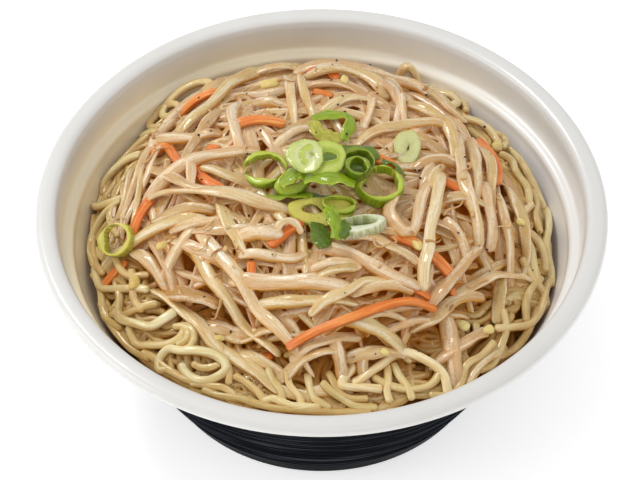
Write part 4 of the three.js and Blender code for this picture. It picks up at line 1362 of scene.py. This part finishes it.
# Bean heads: length, width, heading in degrees, tone, place.
BEANS = [
    (7, 4, 15, 0.4, -17.5, 49), (6, 3.6, 80, 0.2, -61, -28), (5.5, 3.6, -30, 0.8, 52, -38.5),
    (6, 3.8, -40, 0.9, 45.5, -43.5), (4.4, 3.4, 30, 0.7, 54, -44.5), (4, 3, 60, 0.5, -9, 15),
    (4.6, 3, -60, 0.6, 31, -25), (4, 2.8, 20, 0.3, -44, 33), (3.8, 2.8, 100, 0.5, 8, 52),
    (4.2, 3, 40, 0.35, -52, -20), (3.6, 2.6, -20, 0.6, 20, -60), (4, 2.6, 0, 0.4, -33, -51),
    (3.4, 2.6, 130, 0.7, 66, -4), (4, 3, 70, 0.5, 60, 36), (3.4, 2.4, 0, 0.4, -5, -26),
]


def make_beans():
    """The yellow heads of the beans, lying on the heap."""
    rows = np.array(BEANS)
    sizes = np.column_stack([rows[:, 0], rows[:, 1], 0.7 * rows[:, 1]])
    seeds = GOLDEN * np.arange(len(rows)) % 1
    make_blobs("bean_heads", on_pile(rows[:, 4], rows[:, 5], 0.2), sizes, np.radians(rows[:, 2]), 0.14,
               rows[:, 3], seeds, bean_flesh, 13, 20)


make_beans()


def make_crumbs(name, material, seed, count, least, spread, bare, sizes, aspects, flat, lumps, rows,
                columns):
    """Crumbs laid by chance, evenly by area, from a least share of the heap's area out to a spread
    of its reach. They keep off a bare share of the oval that the scallions cover."""
    chance = np.random.default_rng(seed)
    angle = chance.uniform(0, 2 * math.pi, count)
    reach = heap_reach(angle) * spread * np.sqrt(chance.uniform(least, 1, count))
    x, y = reach * np.cos(angle), reach * np.sin(angle)
    kept = np.hypot((x - 5) / 22, y / 20) > bare
    x, y = x[kept], y[kept]
    long = chance.uniform(*sizes, len(x))
    wide = long * chance.uniform(*aspects, len(x))
    make_blobs(name, on_pile(x, y, 0.05), np.column_stack([long, wide, flat * long]),
               chance.uniform(0, 6, len(x)), lumps, chance.uniform(0, 1, len(x)),
               chance.uniform(0, 1, len(x)), material, rows, columns)


make_crumbs("bean_hulls", root_skin, seed=7, count=70, least=0.02, spread=1.0, bare=0, sizes=(1.2, 3.0),
            aspects=(0.25, 0.6), flat=0.3, lumps=0.3, rows=5, columns=10)


# ---- scallions ----
# Slices: outside across and along, hole across and along, the hole's place, height, tilt about X
# and Y, turn, shift from the middle of the slice's solid in the frame, kind.
SLICES = {
    "at_wall": ((12.5, 11.5), (9.6, 8.4), (0.3, 0.4), 4.2, (30, -30, 10), (0.6, -3.4),
                "yellowing scallion"),
    "pale_slice": ((9.8, 13), (0.5, 2.2), (0.3, -0.5), 1.3, (14, 16, -8), (0.2, 2.2), "cream scallion"),
    "left_ring": ((15.4, 12.6), (13.0, 9.8), (0.3, 0.1), 3.4, (12, -6, -6), (1.0, -0.2), "green scallion"),
    "right_ring": ((15.8, 14.4), (13.0, 11.0), (0.4, 0.4), 4.8, (8, 8, 24), (-0.6, 1.8), "green scallion"),
    "outer_ring": ((11.6, 11), (9.8, 9.0), (0, -0.2), 4.0, (10, 8, 30), (-0.2, -5.6), "dark scallion leaf"),
    "coil": ((8.0, 8.0), (5.8, 5.4), (0.2, -0.2), 4.8, (8, 6, 0), (-0.4, -9.8), "dark scallion leaf"),
    "twisted_ring": ((12.5, 9), (6.0, 2.6), (1.0, 0.6), 4.2, (26, -14, 20), (1.0, 0.4), "green scallion"),
    "middle_ring": ((11.2, 6.6), (9.6, 4.6), (0.1, 0.6), 2.8, (12, 3, -3), (1.0, -6.4), "green scallion"),
    "white_band": ((16.6, 7.4), (12.6, 3.4), (-0.6, 1.0), 4.4, (-6, -4, 5), (-1.8, -0.2),
                   "bleached scallion"),
    "thick_ring": ((20.5, 11.5), (6.8, 3.0), (-2.8, 0.4), 1.7, (12, 0, -3), (1.8, 0.6),
                   "yellowing scallion"),
    "top_ring": ((16.4, 13.2), (4.6, 3.6), (1.8, 0.2), 1.5, (8, 4, 8), (-2.4, -7.0), "pale scallion"),
    "pale_disc": ((12.8, 13.2), (0.5, 1.2), (2.2, -1.0), 1.1, (6, -5, 30), (0.8, -7.0), "white scallion"),
}
# Leaves: width, thickness, curl, roll at each end, kind, then places and height over the pile.
LEAVES = {
    "back_band": (4.2, 0.6, 0.4, 5, 30, "green scallion", (-3.2, 31.4, 1.4), (3, 32.4, 1.8),
                  (8.2, 32.0, 1.8), (10.2, 29.5, 1.8), (9.6, 26, 1.4), (7.4, 20, 0.8)),
    "back_band_fold": (5.4, 0.7, 0.4, 10, -20, "yellowing scallion", (-2.6, 29, 0), (-1, 24.5, 0.2),
                       (3.4, 22.4, 0.2), (7.4, 23, 0.2)),
    "right_band": (3.2, 0.9, 0.4, 30, 60, "dark scallion leaf", (20, 9.5, 0.2), (24.5, 8, 0.2),
                   (27.4, 4, 0)),
    "outer_ring_leaf": (6.2, 0.6, 0.7, 15, -15, "dark scallion leaf", (5, 15.6, 0.4), (9.6, 15.4, 0.6),
                        (14.4, 13.6, 0.6), (17.8, 9.6, 0)),
    "under_leaf": (13, 0.6, 0.6, 5, 15, "dark scallion leaf", (-2, 12, 0), (7, 9.4, 0.2),
                   (15.4, 0, 0)),
    "left_leaf": (5.4, 0.6, 0.8, 50, 34, "green scallion", (-17.6, -3.0, 0.4), (-13, -5.2, 0.8),
                  (-8, -6.2, 1.0), (-3, -5.6, 0.8)),
    "left_leaf_fold": (7.6, 0.6, 0.9, 30, 5, "green scallion", (-13.6, -5.0, 1.2), (-10, -2.0, 1.8),
                       (-6.4, -1.2, 1.8), (-2.4, -2.4, 1.2)),
    "middle_ring_fold": (9, 0.6, 1.2, 14, 24, "green scallion", (-5, -4.0, 1.0), (-1, -4.6, 1.6),
                         (4, -5.0, 1.6), (11, -6.6, 0.6)),
    "slit_leaf": (7, 0.6, 0.6, 5, 15, "dark scallion leaf", (-8, -5, 0), (0, -7, 0), (10, -8, 0)),
    "dark_leaf": (6.6, 0.6, 0.7, 25, -15, "dark scallion leaf", (-1.0, -18, 0.8), (-0.4, -21.4, 1.2),
                  (1.2, -26.6, 0.2)),
    "band_leaf": (7, 0.6, -0.6, 5, 15, "dark scallion leaf", (3, -15.4, 0), (10, -16.4, 0), (17, -16.4, 0)),
    "bright_leaf": (4.8, 0.6, 0.7, -15, 25, "green scallion", (2.0, -15, 1.6), (3.6, -19.4, 2.0),
                    (5.4, -23.6, 1.2), (4.8, -27.4, 0)),
    "bright_leaf_tip": (4.2, 0.6, 0.5, 10, 40, "dark scallion leaf", (6.6, -20, 0.2), (8, -22.6, 0.4),
                        (6.6, -27, 0)),
}


# The leaves that stand for a solid of the frame. The others lie between and under the rest.
LEAF_NODES = ("scallion_back_band", "scallion_right_band", "scallion_left_leaf", "scallion_dark_leaf",
              "scallion_bright_leaf")


def node_middle(node):
    """The middle of a node's box in the frame."""
    return np.mean(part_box(node), axis=0) / MM


def settle(points, sink=0.8):
    """Moves points straight up or down until they lie on the pile, sunk into it a little."""
    under = pile.top(points[..., 0], points[..., 1])
    low = points[..., 2] < np.quantile(points[..., 2], 0.5)
    gap = np.quantile((points[..., 2] - under)[low], 0.1)
    return points - np.array([0, 0, gap + sink])


def name_seed(name):
    """A number from 0 to 1 that a name always gives."""
    return sum(map(ord, name)) * 0.137 % 1


def make_slice(name, outside, hole, hole_at, tall, tilt, shift, kind):
    """A slice of hollow leaf. At each angle its section is a superellipse whose ends lie on the
    outside oval and on the hole's oval, both pulled out of true by slow waves; its faces dish a
    little and its edges wave; then it is tilted and turned."""
    seed = name_seed(name)
    count, columns = 120, 28
    angle = np.arange(count)[:, None] * 2 * math.pi / count
    u, v = superellipse(np.arange(columns) * 2 * math.pi / columns, 0.5)
    waves = 0.06 * np.sin(2 * angle + 9 * seed) + 0.05 * np.sin(3 * angle + 23 * seed)
    waves = waves + 0.012 * np.sin(9 * angle + 40 * seed)
    share = (1 + u) / 2
    turn = np.hstack([np.cos(angle), np.sin(angle)])
    outer = 0.5 * np.array(outside) * (1 + waves) * turn
    inner = hole_at + 0.5 * np.array(hole) * (1 - 2 * waves) * turn
    x, y = (inner[:, [axis]] + (outer - inner)[:, [axis]] * share for axis in (0, 1))
    dish = 0.3 * np.sin(2 * angle + 17 * seed) + 0.12 * np.sin(5 * angle + 29 * seed)
    z = 0.5 * tall * v * (1 + 0.1 * np.sin(angle + 13 * seed)) + dish * (0.4 + 0.6 * share)
    about_x, about_y, about_z = np.radians(tilt)
    x, y = rotated(x, y, about_z)
    y, z = rotated(y, z, about_x)
    z, x = rotated(z, x, about_y)
    points = settle(np.stack([x, y, z], axis=-1) + node_middle(name) + np.array([*shift, 0]))
    pile.raise_to(points[..., 0], points[..., 1], points[..., 2])
    quads = grid_quads(count + 1, columns) % (count * columns)
    wide = np.linalg.norm(outer - inner, axis=1, keepdims=True)
    grain = np.stack([angle * 0.12 * sum(outside) + 0 * x, share * wide,
                      0.5 * tall * v + 50 * seed + 0 * x], axis=-1)
    cut = np.clip((np.abs(v) - 0.8) / 0.14, 0, 1)
    fields = {"grain": grain, "layer": 1 - share + 0 * x, "cut": cut + 0 * x}
    piece = make_piece(name + "_slice", points, quads[:, ::-1], SCALLION_KINDS[kind], fields)
    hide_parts(name)


def make_leaf(name, width, thick, curl, roll_start, roll_end, kind, *places):
    """A torn strip of leaf along its line: a thin oval section, curled by a parabola across its
    width, rolled from one angle to another, its edges wavy and its ends a little narrower."""
    seed = name_seed(name)
    rows, columns = 60, 22
    line = curve_plan(places, rows)
    s = np.linspace(0, 1, rows)
    taper = 1 - 0.22 * np.exp(-((s / 0.12) ** 2)) - 0.3 * np.exp(-(((1 - s) / 0.15) ** 2))
    wide = width * taper * (1 + 0.1 * np.sin(11 * s + 19 * seed))
    path = pile.lay(line[:, :2], 0.6 * wide, np.full(rows, thick), heap_level, LEAF_SAG, -2, 7, line[:, 2])
    around = np.arange(columns) * 2 * math.pi / columns
    u = 0.5 * wide[:, None] * np.cos(around)
    wave = 0.5 * np.sin(9 * s + 7 * seed)[:, None] * np.sign(np.cos(around)) * np.cos(around) ** 2
    wave = wave + 0.28 * np.sin(23 * s + 31 * seed)[:, None] * np.cos(around) ** 2
    v = 0.5 * thick * np.sin(around) + wave - curl * (2 * u / width) ** 2
    u, v = rotated(u, v, np.radians(roll_start + (roll_end - roll_start) * s)[:, None])
    side, rise = frame_along(path)
    points = path[:, None, :] + u[..., None] * side[:, None, :] + v[..., None] * rise[:, None, :]
    pile.raise_to(points[..., 0], points[..., 1], points[..., 2])
    tips = points[[0, -1]].mean(axis=1)
    layer = np.broadcast_to((1 - np.sin(around)) / 2 * 0.6, u.shape)
    cut = np.broadcast_to(np.clip((np.abs(np.cos(around)) - 0.9) / 0.1, 0, 1), u.shape)
    grain = np.stack([u, v, np.broadcast_to((s * 20 + 50 * seed)[:, None], u.shape)], axis=-1)
    fields = {"grain": np.vstack([grain.reshape(-1, 3), [[0, 0, 50 * seed], [0, 0, 20 + 50 * seed]]]),
              "layer": np.append(layer, [0.3, 0.3]),
              "cut": np.append(cut, [0.5, 0.5])}
    piece = make_piece(name + "_slice", np.vstack([points.reshape(-1, 3), tips]),
                       grid_quads(rows, columns)[:, ::-1], SCALLION_KINDS[kind], fields,
                       pole_fans(rows, columns))
    if name in LEAF_NODES:
        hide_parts(name)


# Every piece of scallion, in the order they lie.
SCALLION_ORDER = (
    "at_wall", "pale_slice", "left_ring", "right_ring", "back_band_fold", "back_band", "right_band",
    "outer_ring_leaf", "under_leaf", "slit_leaf", "left_leaf", "outer_ring", "coil", "twisted_ring",
    "left_leaf_fold", "band_leaf", "thick_ring", "middle_ring", "middle_ring_fold", "white_band",
    "dark_leaf", "bright_leaf_tip", "bright_leaf", "top_ring", "pale_disc")

for key in SCALLION_ORDER:
    if key in SLICES:
        make_slice("scallion_" + key, *SLICES[key])
    else:
        make_leaf("scallion_" + key, *LEAVES[key])
make_crumbs("pepper_flakes", pepper_skin, seed=83, count=150, least=0, spread=1.06, bare=1,
            sizes=(0.45, 1.25), aspects=(0.5, 0.9), flat=0.55, lumps=0.25, rows=3, columns=6)


# ---- the floor and the lights ----
def make_floor():
    """A wide pale floor with faint clouds, which glows a little so that it stays even."""
    data = bpy.data.meshes.new("floor")
    half = 3.0
    corners = [(-half, -half, 0), (half, -half, 0), (half, half, 0), (-half, half, 0)]
    data.from_pydata(corners, [], [(0, 1, 2, 3)])
    floor = bpy.data.objects.new("floor", data)
    bpy.context.scene.collection.objects.link(floor)
    material, tree, shader = new_material("floor white")
    cloud = add_noise(tree, object_place(tree), 3.0, 4.0)
    colour = add_mix(tree, cloud, linear(250, 250, 250), linear(246, 246, 246))
    set_sockets(tree, shader, Base_Color=colour, Roughness=0.9, Emission_Color=WHITE,
                Emission_Strength=0.48)
    data.materials.append(material)


def add_softbox(name, place, width, depth, watts):
    """A rectangular lamp at a place in millimetres that faces the food's middle."""
    data = bpy.data.lights.new(name, "AREA")
    data.shape = "RECTANGLE"
    data.size, data.size_y = width * MM, depth * MM
    data.energy = watts
    lamp = bpy.data.objects.new(name, data)
    bpy.context.scene.collection.objects.link(lamp)
    place = np.array(place, float)
    lamp.location = place * MM
    aim = unit(place - LIT_PLACE)
    lamp.rotation_euler = (0, math.acos(aim[2]), math.atan2(aim[1], aim[0]))


LIT_PLACE = np.array([0, 0, 70.0])
make_floor()
add_softbox("key softbox", (-450, 450, 950), 300, 260, 4.1)
add_softbox("front softbox", (350, -800, 900), 1000, 700, 2.2)
add_softbox("left softbox", (-900, -200, 500), 700, 600, 3.2)
add_softbox("right softbox", (900, 0, 650), 700, 600, 1.3)

world = bpy.data.worlds.new("studio")
bpy.context.scene.world = world
world.use_nodes = True
world.node_tree.nodes["Background"].inputs["Color"].default_value = WHITE
world.node_tree.nodes["Background"].inputs["Strength"].default_value = 0.56
bpy.context.scene.view_settings.view_transform = "Standard"
